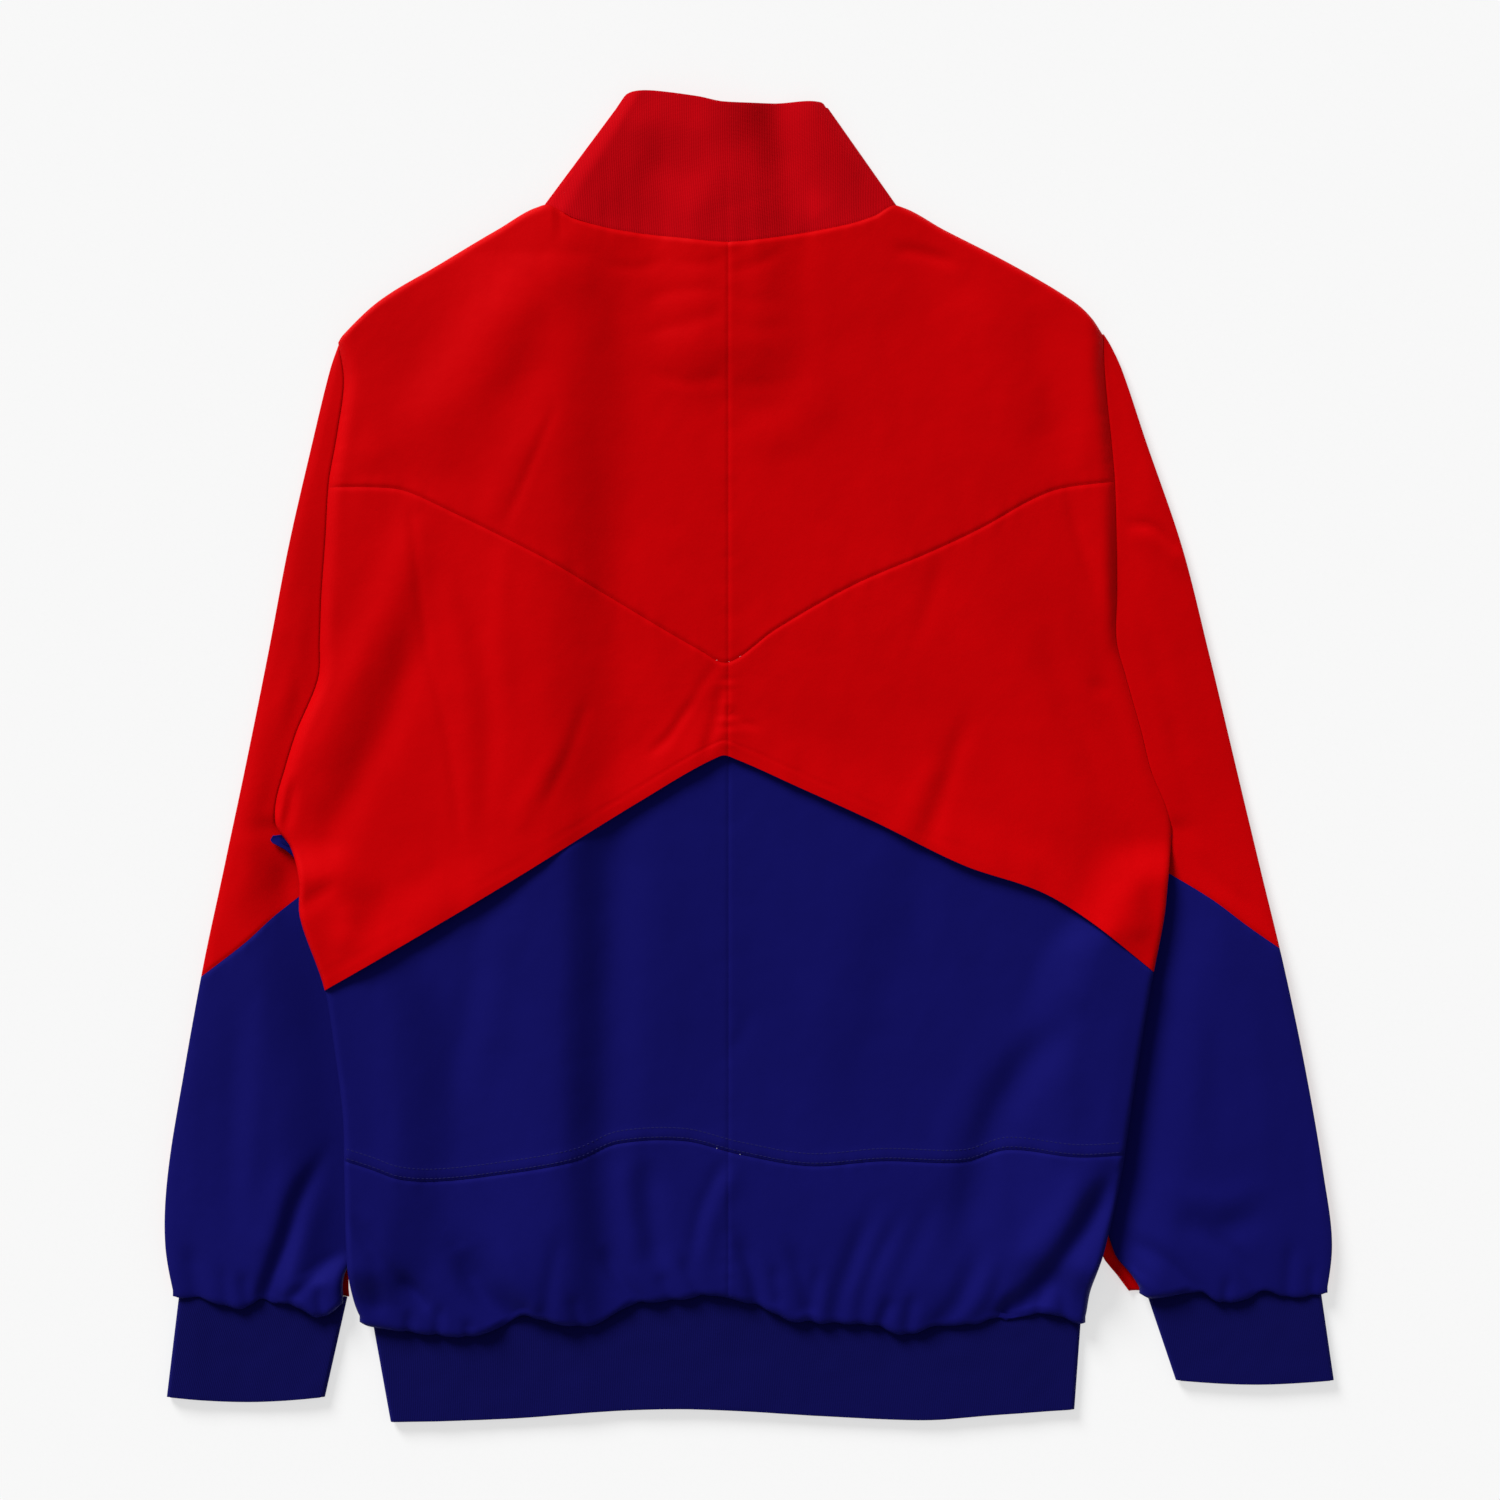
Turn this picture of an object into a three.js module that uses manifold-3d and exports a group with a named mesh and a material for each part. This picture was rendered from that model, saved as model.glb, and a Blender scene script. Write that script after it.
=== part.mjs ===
import * as THREE from "three";
import { mergeVertices } from "three/addons/utils/BufferGeometryUtils.js";
import Module from "manifold-3d";

// A windbreaker jacket that lies face down on a table, in millimetres.
// +X is to the right and +Y towards the collar as seen from above, +Z is up, and the table is at z = 0.
// The origin is at the middle of the jacket's box, on the table.

// Driving dimensions
const SHELL = 1.4; // wall of the nylon shell panels
const RIB = 2.4; // wall of the knitted collar, cuffs and hem band
const SEAM = 0.3; // gap between two pieces at a seam
const CENTRE = -13; // x of the centre back seam and of the zip
const COLLAR_HEIGHT = 82;
const FRONT_NECK_DROP = 80; // how much lower the neck seam is at the front than at the back
const BACK_NECK_DROP = 22; // how much lower the neck seam is at the centre back than at the shoulders
const FRONT_NECK_EASE = 1.8; // room between the fronts and the curved edge of the collar
const CAPE_UNDERLAP = 48; // how far the blue back goes up under the cape
const CAPE_STEP = 2.4; // how far the cape's face stands above the blue back's face
const FRONT_SEAM_Y = -47; // colour seam of the fronts
const ZIP_REVEAL = 7; // half the width of both zip tapes together
const EDGE_ROLL = 4; // plan depth of a rounded side edge
const ARMHOLE_ROLL = 11; // plan depth of the rise beside an armhole seam
const ARMHOLE_SEAM_HEIGHT = 4; // the outer face at the armhole seam
const SLEEVE_UNDER_BODY = 4.4; // height of a sleeve where the body lies on it
const BODY_OVER_SLEEVE = 5.3; // height of the body's lower face there
const RIB_LOFT = 2 * RIB + 0.8; // height of a flat rib tube
const BLOUSE_GAP = 0.5; // between the bloused cloth and the rib under it
const RIB_UNDERLAP = 3.2; // how far a rib's seam edge hides above the bloused edge
const BLOUSE_ROLL = 4.4; // plan depth of the round edge of bloused cloth
const LEAST_LOFT = 3.9; // two walls and the air between them, at the bottom of a crease

// Outlines of the body's two sides, from the shoulder point to the hem: the armhole seam down to
// the underarm, then the side edge
const BODY_EDGE = [
  { y: 252, left: -248, right: 212 },
  { y: 226, left: -244, right: 213.2 },
  { y: 194, left: -248, right: 216.5 },
  { y: 165, left: -253, right: 219 },
  { y: 130, left: -255.2, right: 220 },
  { y: 98, left: -257.5, right: 220.3 },
  { y: 70, left: -258.5, right: 220 },
  { y: 47, left: -259.5, right: 226 },
  { y: 15, left: -272.5, right: 235 },
  { y: -9, left: -280, right: 241 },
  { y: -28, left: -285, right: 249 },
  { y: -42, left: -284.5, right: 253.5 },
  { y: -54, left: -276, right: 253 },
  { y: -74, left: -270.2, right: 250.7 },
  { y: -96, left: -269.6, right: 248.4 },
  { y: -138, left: -255.2, right: 240.3 },
  { y: -175, left: -249, right: 234 },
  { y: -215, left: -244, right: 227.8 },
  { y: -250, left: -243, right: 222.5 },
  { y: -295, left: -241.8, right: 212.5 },
  { y: -319, left: -239.4, right: 204.5 },
  { y: -335, left: -234.6, right: 201.6 },
  { y: -348, left: -224, right: 197.5 },
];
// Outer edges of the sleeves
const SLEEVE_OUTER = [
  { y: 256, left: -244, right: 211.5 },
  { y: 247, left: -247.6, right: 217 },
  { y: 232, left: -252.6, right: 223.8 },
  { y: 190, left: -262.8, right: 237.8 },
  { y: 127, left: -277.2, right: 259.4 },
  { y: 64, left: -289.2, right: 275.4 },
  { y: 1, left: -301.8, right: 290.4 },
  { y: -62, left: -315, right: 305.4 },
  { y: -125, left: -328.2, right: 320.4 },
  { y: -188, left: -339.6, right: 333.6 },
  { y: -251, left: -349.6, right: 344.4 },
  { y: -293, left: -351, right: 349.4 },
  { y: -332, left: -344, right: 344.5 },
];
// Inner edges of the sleeves below the underarm: beside the body at first, then under it
const SLEEVE_INNER = [
  { y: -42, left: -287, right: 255.6 },
  { y: -54, left: -278.4, right: 255 },
  { y: -74, left: -271.6, right: 252 },
  { y: -96, left: -261, right: 240 },
  { y: -118, left: -242, right: 223 },
  { y: -150, left: -230, right: 212 },
  { y: -200, left: -225, right: 207 },
  { y: -250, left: -228, right: 207.5 },
  { y: -298, left: -236, right: 211 },
  { y: -312, left: -241, right: 221 },
  { y: -332, left: -240, right: 236 },
];
// How far the under sleeve shows beside the upper one
const SLEEVE_PEEK = [
  { y: -250, left: 0.3, right: 0.3 },
  { y: -290, left: 1, right: 7 },
  { y: -312, left: 3, right: 9 },
  { y: -332, left: 4, right: 5 },
];
// Top of the yoke: shoulder lines, with the neck seam between them
const YOKE_TOP = [
  { x: -249, y: 246 },
  { x: -244.8, y: 253.2 },
  { x: -222.6, y: 274.2 },
  { x: -187.8, y: 295.2 },
  { x: -152.4, y: 316.2 },
  { x: -124, y: 331 },
  { x: -105, y: 322.8 },
  { x: -81, y: 316.6 },
  { x: -46.8, y: 312 },
  { x: -13, y: 308.8 },
  { x: 22.2, y: 312.8 },
  { x: 56.4, y: 319.2 },
  { x: 73.8, y: 324.4 },
  { x: 88.5, y: 331 },
  { x: 117.6, y: 316.2 },
  { x: 158.4, y: 295.2 },
  { x: 193.8, y: 274.2 },
  { x: 205, y: 264 },
  { x: 213.5, y: 251 },
];
// V seam between yoke and cape
const YOKE_SEAM = [
  { x: -256, y: 162 },
  { x: -220, y: 161.6 },
  { x: -206, y: 159.4 },
  { x: -183.6, y: 149.4 },
  { x: -121.2, y: 118.2 },
  { x: -87, y: 97.8 },
  { x: -30, y: 64.2 },
  { x: -13, y: 57 },
  { x: 15.6, y: 76.8 },
  { x: 61.8, y: 103.2 },
  { x: 108, y: 123 },
  { x: 139.8, y: 138 },
  { x: 167.4, y: 153.6 },
  { x: 186, y: 161 },
  { x: 221, y: 165.6 },
];
// Loose chevron edge of the cape
const CAPE_EDGE = [
  { x: -262, y: -144 },
  { x: -216, y: -117.6 },
  { x: -141, y: -73.2 },
  { x: -66.6, y: -27 },
  { x: -18, y: 0.5 },
  { x: -8, y: -1.5 },
  { x: 27.6, y: -17.4 },
  { x: 75, y: -39 },
  { x: 127.8, y: -64.8 },
  { x: 173.4, y: -80.4 },
  { x: 202.8, y: -97.8 },
  { x: 246, y: -132 },
];
// Seam above the gathered lower back
const LOWER_SEAM = [
  { x: -246, y: -240.5 },
  { x: -226, y: -247 },
  { x: -210, y: -252.6 },
  { x: -187.8, y: -254.4 },
  { x: -154, y: -250.8 },
  { x: -103.8, y: -241.8 },
  { x: -79, y: -232.2 },
  { x: -39.6, y: -230.4 },
  { x: -7, y: -238.2 },
  { x: 35.4, y: -245.4 },
  { x: 79.8, y: -242.4 },
  { x: 129, y: -243 },
  { x: 154.8, y: -235.8 },
  { x: 196.2, y: -239.4 },
  { x: 226, y: -238 },
];
// Scalloped edge of the bloused back over the hem band
const BLOUSE_EDGE = [
  { x: -240, y: -338 },
  { x: -226, y: -342 },
  { x: -184.8, y: -347.4 },
  { x: -165, y: -347.4 },
  { x: -135.6, y: -338.4 },
  { x: -96, y: -341.4 },
  { x: -73.2, y: -330 },
  { x: -42.6, y: -325.8 },
  { x: -19.2, y: -323.4 },
  { x: 7.8, y: -331.2 },
  { x: 26.4, y: -339 },
  { x: 73.8, y: -341.4 },
  { x: 92, y: -347 },
  { x: 113.4, y: -342 },
  { x: 144, y: -340.2 },
  { x: 177.6, y: -334.2 },
  { x: 198.6, y: -340.2 },
  { x: 212, y: -338 },
];
const HEM_EDGE = [
  { x: -216, y: -399.6 },
  { x: -185, y: -399 },
  { x: -138.6, y: -397.2 },
  { x: -93, y: -393.6 },
  { x: -46.8, y: -391.8 },
  { x: -6, y: -393 },
  { x: 43.2, y: -396 },
  { x: 105, y: -398.4 },
  { x: 144, y: -395.6 },
  { x: 195, y: -392 },
];
const HEM_CORNERS = { seamLeft: -227, seamRight: 199, edgeLeft: -216, edgeRight: 195 };
const COLLAR_TOP = [
  { x: -78.6, y: 392.4 },
  { x: -74, y: 398 },
  { x: -65.4, y: 399.8 },
  { x: -53.4, y: 399.2 },
  { x: -31.2, y: 396 },
  { x: -16, y: 392.8 },
  { x: 13.8, y: 392.8 },
  { x: 42, y: 393.2 },
  { x: 47, y: 390 },
];
const COLLAR_CORNERS = { seamLeft: -124.2, seamRight: 88.4, edgeLeft: -78.6, edgeRight: 47 };
const SLEEVE_SEAM = {
  left: [
    { x: -335, y: -136 },
    { x: -303, y: -111.6 },
    { x: -285.6, y: -95.4 },
    { x: -266, y: -80 },
  ],
  right: [
    { x: 247, y: -67 },
    { x: 277.8, y: -85.8 },
    { x: 299.4, y: -102 },
    { x: 324, y: -119 },
  ],
};
const SLEEVE_BOTTOM = {
  left: [
    { x: -346, y: -324.5 },
    { x: -330, y: -325.8 },
    { x: -305, y: -331.5 },
    { x: -294, y: -328.2 },
    { x: -271, y: -330.6 },
    { x: -258, y: -336.6 },
    { x: -243, y: -328 },
    { x: -236, y: -328 },
  ],
  right: [
    { x: 228, y: -320 },
    { x: 240, y: -324.6 },
    { x: 268, y: -321.6 },
    { x: 282.6, y: -327.6 },
    { x: 301, y: -324.6 },
    { x: 310, y: -320.6 },
    { x: 322, y: -324.6 },
    { x: 346, y: -322.4 },
  ],
};
const CUFF_CORNERS = {
  left: { seamLeft: -343, seamRight: -242, edgeLeft: -350.6, edgeRight: -255.5, edgeY: -384.5, edgeBow: -3 },
  right: { seamLeft: 238, seamRight: 343, edgeLeft: 256, edgeRight: 351, edgeY: -374.5, edgeBow: -2.5 },
};
// Height of the back's outer face over the lower face, down the centre of the back
const LOFT = [
  { y: 400, mm: 6 },
  { y: 300, mm: 6.4 },
  { y: 160, mm: 6.6 },
  { y: 20, mm: 6.8 },
  { y: -120, mm: 7.4 },
  { y: -230, mm: 8.6 },
  { y: -290, mm: 12 },
  { y: -318, mm: 14.5 },
  { y: -350, mm: 14 },
];
// Largest folds of the back: a ridge where height is positive, a trough where it is negative
const BACK_FOLDS = [
  { name: "left shoulder ridge", x0: -128, y0: 281, x1: -222, y1: 172, width: 15, height: 3.2 },
  { name: "left shoulder trough", x0: -104, y0: 268, x1: -150, y1: 134, width: 11, height: -1.8 },
  { name: "right shoulder ridge", x0: 110, y0: 285, x1: 190, y1: 178, width: 15, height: 1.6 },
  { name: "neck fold left", x0: -84, y0: 300, x1: -20, y1: 292, width: 7, height: -1.4 },
  { name: "neck fold right", x0: -4, y0: 292, x1: 60, y1: 306, width: 7, height: -1.4 },
  { name: "upper back fold", x0: -62, y0: 279, x1: 26, y1: 264, width: 9, height: 1.2 },
  { name: "middle back fold", x0: -30, y0: 226, x1: 52, y1: 230, width: 9, height: -1.2 },
  { name: "left blade ridge", x0: -214, y0: 152, x1: -262, y1: 42, width: 13, height: 3.6 },
  { name: "left blade trough", x0: -199, y0: 142, x1: -232, y1: 16, width: 11, height: -2.2 },
  { name: "right blade ridge", x0: 196, y0: 152, x1: 218, y1: 70, width: 13, height: 3.2 },
  { name: "right blade trough", x0: 176, y0: 138, x1: 190, y1: 40, width: 13, height: -1.8 },
  { name: "left underarm ridge", x0: -262, y0: 42, x1: -280, y1: -36, width: 12, height: 3 },
  { name: "right underarm ridge", x0: 216, y0: 22, x1: 248, y1: -42, width: 12, height: 3 },
  { name: "left body shadow", x0: -148, y0: -103, x1: -174, y1: -200, width: 20, height: -2.6 },
  { name: "long middle trough", x0: -98, y0: -126, x1: -99, y1: -339, width: 15, height: -4 },
  { name: "right long trough", x0: 190, y0: -160, x1: 137, y1: -233, width: 15, height: -3.6 },
  { name: "right long trough below", x0: 137, y0: -233, x1: 127, y1: -298, width: 15, height: -3.8 },
  { name: "right hip trough", x0: 214, y0: -256, x1: 144, y1: -339, width: 11, height: -3.2 },
  { name: "left hip trough", x0: -238, y0: -279, x1: -200, y1: -322, width: 8, height: -2.4 },
  { name: "gather", x0: -203, y0: -316, x1: -201, y1: -342, width: 6, height: -2.6 },
  { name: "gather", x0: -165, y0: -300, x1: -158, y1: -342, width: 9, height: -4 },
  { name: "gather", x0: -187, y0: -330, x1: -186, y1: -346, width: 5, height: -2 },
  { name: "gather", x0: -88, y0: -298, x1: -67, y1: -328, width: 6, height: -2.2 },
  { name: "gather", x0: -38, y0: -300, x1: -31, y1: -326, width: 7, height: -2.4 },
  { name: "gather", x0: 3, y0: -296, x1: 4, y1: -326, width: 6, height: -2.2 },
  { name: "gather", x0: 34, y0: -306, x1: 33, y1: -338, width: 6, height: -2.4 },
  { name: "gather", x0: 61, y0: -304, x1: 51, y1: -340, width: 7, height: -2.6 },
  { name: "gather", x0: 84, y0: -306, x1: 78, y1: -344, width: 6, height: -2.4 },
  { name: "gather", x0: 138, y0: -300, x1: 110, y1: -342, width: 8, height: -3 },
  { name: "gather", x0: 176, y0: -316, x1: 170, y1: -338, width: 6, height: -2 },
];
const SLEEVE_FOLDS = [
  { name: "left cuff trough", x0: -250, y0: -236, x1: -278, y1: -290, width: 10, height: -3 },
  { name: "left cuff trough below", x0: -278, y0: -290, x1: -294, y1: -328, width: 8, height: -3 },
  { name: "left cuff fold", x0: -244, y0: -298, x1: -271, y1: -326, width: 7, height: -2.4 },
  { name: "left outer gather", x0: -338, y0: -296, x1: -330, y1: -326, width: 6, height: -2 },
  { name: "left middle gather", x0: -306, y0: -314, x1: -302, y1: -330, width: 5, height: -2 },
  { name: "right cuff fold", x0: 232, y0: -292, x1: 266, y1: -322, width: 8, height: -2.8 },
  { name: "right cuff trough", x0: 276, y0: -286, x1: 306, y1: -320, width: 8, height: -2.8 },
  { name: "right outer gather", x0: 326, y0: -300, x1: 322, y1: -324, width: 6, height: -2 },
];

// Zip slider at the top of the closed zip, and its pull tab
const ZIP = {
  y: 296, // slider's middle
  lift: 4.5, // the fronts are lifted this much over the slider and the tab
  tape: 1.2,
  plateLength: 11,
  plateWidth: 8,
  plate: 1.2,
  post: 2.6,
  archWidth: 1.6,
  archSpan: 8.6,
  archBar: 0.9,
  archWindow: 1.7,
  bar: 1.1, // the pull's bar, square in section
  loopInside: 5.2,
  loopArm: 1.3,
  loopClear: 0.6,
  tabLength: 24,
  tabWidth: 6,
  tab: 1.1,
  tilt: THREE.MathUtils.degToRad(2.6), // the tab's free end drops to the table
};

// Curves through a table's points, with round joints
function curve(table, from, to) {
  const rows = [...table].sort((a, b) => a[from] - b[from]);
  const slopes = rows.map((row, i) => {
    const before = rows[Math.max(i - 1, 0)];
    const after = rows[Math.min(i + 1, rows.length - 1)];
    return (after[to] - before[to]) / (after[from] - before[from]);
  });
  return (at) => {
    if (at <= rows[0][from]) return rows[0][to];
    if (at >= rows.at(-1)[from]) return rows.at(-1)[to];
    const i = rows.findIndex((row) => row[from] > at) - 1;
    const span = rows[i + 1][from] - rows[i][from];
    const t = (at - rows[i][from]) / span;
    const t2 = t * t;
    const t3 = t2 * t;
    return (
      rows[i][to] * (2 * t3 - 3 * t2 + 1) +
      rows[i + 1][to] * (3 * t2 - 2 * t3) +
      slopes[i] * span * (t3 - 2 * t2 + t) +
      slopes[i + 1] * span * (t3 - t2)
    );
  };
}
const { clamp, lerp, smoothstep } = THREE.MathUtils;
const SIDES = ["left", "right"];
const OUT = { left: -1, right: 1 };
const bySide = (make) => ({ left: make("left"), right: make("right") });
const bodyEdge = bySide((side) => curve(BODY_EDGE, "y", side));
const sleeveOuter = bySide((side) => curve(SLEEVE_OUTER, "y", side));
const sleeveInnerBelow = bySide((side) => curve(SLEEVE_INNER, "y", side));
const sleevePeek = bySide((side) => curve(SLEEVE_PEEK, "y", side));
const sleeveSeam = bySide((side) => curve(SLEEVE_SEAM[side], "x", "y"));
const sleeveBottom = bySide((side) => curve(SLEEVE_BOTTOM[side], "x", "y"));
const yokeTop = curve(YOKE_TOP, "x", "y");
const yokeSeam = curve(YOKE_SEAM, "x", "y");
const capeEdge = curve(CAPE_EDGE, "x", "y");
const lowerSeam = curve(LOWER_SEAM, "x", "y");
const blouseEdge = curve(BLOUSE_EDGE, "x", "y");
const hemEdge = curve(HEM_EDGE, "x", "y");
const collarTop = curve(COLLAR_TOP, "x", "y");
const loftAt = curve(LOFT, "y", "mm");
const bandSeam = (x) => blouseEdge(x) + RIB_UNDERLAP;

const UNDERARM_Y = -42;
const SHOULDER_Y = { left: 239, right: 243 };
const NECK_POINT = { left: -124, right: 88.5 };
const NECK_POINT_Y = 331;

// Inner edge of a sleeve: the armhole seam above the underarm
function sleeveInner(side, y) {
  if (y > UNDERARM_Y) return bodyEdge[side](y) + OUT[side] * (SEAM + 1.7 * smoothstep(-y, 5, 38));
  return sleeveInnerBelow[side](y);
}

// Front neck seam: it leaves the back one at the shoulders and drops in a round curve to the zip
function frontNeckDrop(x) {
  const side = x < CENTRE ? "left" : "right";
  const t = clamp((x - NECK_POINT[side]) / (CENTRE - NECK_POINT[side]), 0, 1);
  return Math.pow(Math.sin((t * Math.PI) / 2), 1.2);
}
const frontTop = (x) => {
  if (x < NECK_POINT.left || x > NECK_POINT.right) return yokeTop(x);
  return NECK_POINT_Y - (BACK_NECK_DROP + FRONT_NECK_DROP) * frontNeckDrop(x);
};

// Sum of a table's folds at a point
function folds(table, x, y) {
  let sum = 0;
  for (const fold of table) {
    const dx = fold.x1 - fold.x0;
    const dy = fold.y1 - fold.y0;
    const t = clamp(((x - fold.x0) * dx + (y - fold.y0) * dy) / (dx * dx + dy * dy), 0, 1);
    const away = Math.hypot(x - fold.x0 - t * dx, y - fold.y0 - t * dy) / fold.width;
    sum += fold.height * Math.exp(-away * away);
  }
  return sum;
}

// Height of the jacket's lower face over the table: the body climbs onto the sleeves beside it,
// and the fronts rise over the zip slider
function lowerFace(x, y) {
  const side = x < CENTRE ? "left" : "right";
  const over = OUT[side] * (x - sleeveInner(side, y));
  const beside = smoothstep(over, -52, -12);
  const belowUnderarm = 1 - smoothstep(y, UNDERARM_Y - 34, UNDERARM_Y - 6);
  const aboveHem = smoothstep(y, -330, -305);
  const ontoSleeve = BODY_OVER_SLEEVE * beside * belowUnderarm * aboveHem;
  const acrossZip = 1 - smoothstep(Math.abs(x - CENTRE), 13, 48);
  const alongPull = 1 - smoothstep(Math.abs(y - ZIP.y + 8), 36, 84);
  return Math.max(y > UNDERARM_Y - 6 ? 0 : ontoSleeve, ZIP.lift * acrossZip * alongPull);
}

// Height of the back's outer face over the lower face
function backLoft(x, y) {
  return Math.max(loftAt(y) + folds(BACK_FOLDS, x, y), LEAST_LOFT);
}

const quarter = (t) => Math.sqrt(1 - (1 - clamp(t, 0, 1)) ** 2);
const easeOut = (t) => 1 - (1 - clamp(t, 0, 1)) ** 2;

// How much of its full height a face has near the body's outline, and the height that it starts from
function bodyRim(side, x, y, inset = 0) {
  const fromSide = Math.max(OUT[side] * (bodyEdge[side](y) - x) - inset, 0);
  const armhole = smoothstep(y, UNDERARM_Y, UNDERARM_Y + 14);
  const shoulder = Math.max((yokeTop(x) - y) * 0.86, 0);
  const pastNeck = OUT[side] * (x - NECK_POINT[side]);
  const onShoulder = smoothstep(pastNeck, -3, 4);
  return {
    armhole,
    side: lerp(quarter(fromSide / EDGE_ROLL), easeOut(fromSide / ARMHOLE_ROLL), armhole),
    shoulder: lerp(1, quarter(shoulder / EDGE_ROLL), onShoulder),
  };
}

function backFace(side, x, y, extra = 0, inset = 0) {
  const low = lowerFace(x, y);
  const full = backLoft(x, y) + extra;
  const rim = bodyRim(side, x, y, inset);
  const middle = full / 2 + SEAM / 2;
  const start = lerp(middle, ARMHOLE_SEAM_HEIGHT, rim.armhole);
  const beside = start + (full - start) * rim.side;
  return low + lerp(Math.min(middle, beside), beside, rim.shoulder);
}

function frontFace(side, x, y) {
  const low = lowerFace(x, y);
  const rim = bodyRim(side, x, y);
  const middle = backLoft(x, y) / 2 - SEAM / 2;
  const start = lerp(middle, 0, rim.armhole);
  const beside = start * (1 - rim.side);
  const shoulderStart = Math.min(middle, ARMHOLE_SEAM_HEIGHT - SHELL - SEAM);
  return low + lerp(shoulderStart, beside, rim.shoulder);
}

// Sleeves: the full height away from the body, low under it
function sleeveLoft(side, x, y) {
  const clear = OUT[side] * (x - bodyEdge[side](y));
  const away = Math.max(smoothstep(clear, 5, 30), smoothstep(-y, 296, 318));
  const puff = smoothstep(-y, 240, 316) * 3.4;
  const low = y > UNDERARM_Y ? ARMHOLE_SEAM_HEIGHT : SLEEVE_UNDER_BODY;
  const extra = (3.2 + puff + folds(SLEEVE_FOLDS, x, y)) * away;
  return Math.max(low + extra, low - 0.2);
}

function sleeveRim(side, x, y, inner, outer) {
  const roll = Math.min(EDGE_ROLL, Math.abs(outer - inner) * 0.45);
  const fromOuter = Math.abs(outer - x);
  const fromInner = Math.abs(x - inner);
  const armhole = smoothstep(y, UNDERARM_Y, UNDERARM_Y + 14);
  return Math.min(quarter(fromOuter / roll), lerp(quarter(fromInner / roll), 1, armhole));
}

const ROUNDED = 0.6; // a wall's edge is flat where its normal is steeper than this, else rounded

// A closed wall from a grid of points on its outer face. Each point of the inner face lies inwards
// along the face's normal. At the grid's edges it lies straight under a flat edge and level with a
// rounded one, so that pieces sewn together there keep their gap.
function wall(grid, thickness, { up = true, ring = false, turnedTop = false, rounded = () => false } = {}) {
  const rows = grid.length;
  const cols = grid[0].length;
  const at = (r, c) => grid[clamp(r, 0, rows - 1)][ring ? (c + cols) % cols : clamp(c, 0, cols - 1)];
  const normalAt = (r, c) => {
    const across = at(r, c + 1).clone().sub(at(r, c - 1));
    const along = at(r + 1, c).clone().sub(at(r - 1, c));
    return across.cross(along).normalize();
  };
  const facing = normalAt(Math.floor(rows / 2), Math.floor(cols / 2)).z > 0 === up ? 1 : -1;
  const outer = grid.flat();
  const inner = [];
  for (let r = 0; r < rows; r++) {
    for (let c = 0; c < cols; c++) {
      const inwards = normalAt(r, c).multiplyScalar(-facing);
      const onSide = !ring && (c === 0 || c === cols - 1);
      const onEnd = r === 0 || r === rows - 1;
      if (onSide && rounded(c, grid[r][c].y)) inwards.z = 0;
      else if (onSide) keepInPlane(inwards, at(r + 1, c), at(r - 1, c));
      if (onEnd && Math.abs(inwards.z) > ROUNDED) inwards.set(0, 0, Math.sign(inwards.z));
      else if (onEnd && ring) inwards.setY(0);
      else if (turnedTop && r === 0) inwards.setZ(0);
      else if (onEnd) keepInPlane(inwards, at(r, c + 1), at(r, c - 1));
      inner.push(grid[r][c].clone().add(inwards.setLength(thickness)));
    }
  }
  const index = [];
  const quad = (a, b, c, d) => index.push(a, b, c, a, c, d);
  const id = (r, c) => r * cols + (c % cols);
  const under = (r, c) => outer.length + id(r, c);
  const lastCol = ring ? cols : cols - 1;
  const lastRow = rows - 1;
  for (let c = 0; c < lastCol; c++) {
    for (let r = 0; r < lastRow; r++) {
      quad(id(r, c), id(r, c + 1), id(r + 1, c + 1), id(r + 1, c));
      quad(under(r, c), under(r + 1, c), under(r + 1, c + 1), under(r, c + 1));
    }
    quad(id(0, c + 1), id(0, c), under(0, c), under(0, c + 1));
    quad(id(lastRow, c), id(lastRow, c + 1), under(lastRow, c + 1), under(lastRow, c));
  }
  for (let r = 0; r < lastRow && !ring; r++) {
    quad(id(r, 0), id(r + 1, 0), under(r + 1, 0), under(r, 0));
    quad(id(r + 1, lastCol), id(r, lastCol), under(r, lastCol), under(r + 1, lastCol));
  }
  const geometry = new THREE.BufferGeometry().setFromPoints([...outer, ...inner]);
  geometry.setIndex(index);
  if (signedVolume(geometry) < 0) geometry.setIndex(index.reverse());
  geometry.computeVertexNormals();
  return geometry;
}

// Takes from a vector what leads out of the upright plane through two points
function keepInPlane(vector, a, b) {
  const across = new THREE.Vector3(b.y - a.y, a.x - b.x, 0).normalize();
  return vector.addScaledVector(across, -vector.dot(across));
}

function signedVolume(geometry) {
  const position = geometry.getAttribute("position");
  const index = geometry.getIndex();
  const [a, b, c] = [new THREE.Vector3(), new THREE.Vector3(), new THREE.Vector3()];
  let sum = 0;
  for (let i = 0; i < index.count; i += 3) {
    a.fromBufferAttribute(position, index.getX(i));
    b.fromBufferAttribute(position, index.getX(i + 1));
    c.fromBufferAttribute(position, index.getX(i + 2));
    sum += a.dot(b.cross(c)) / 6;
  }
  return sum;
}

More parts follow.
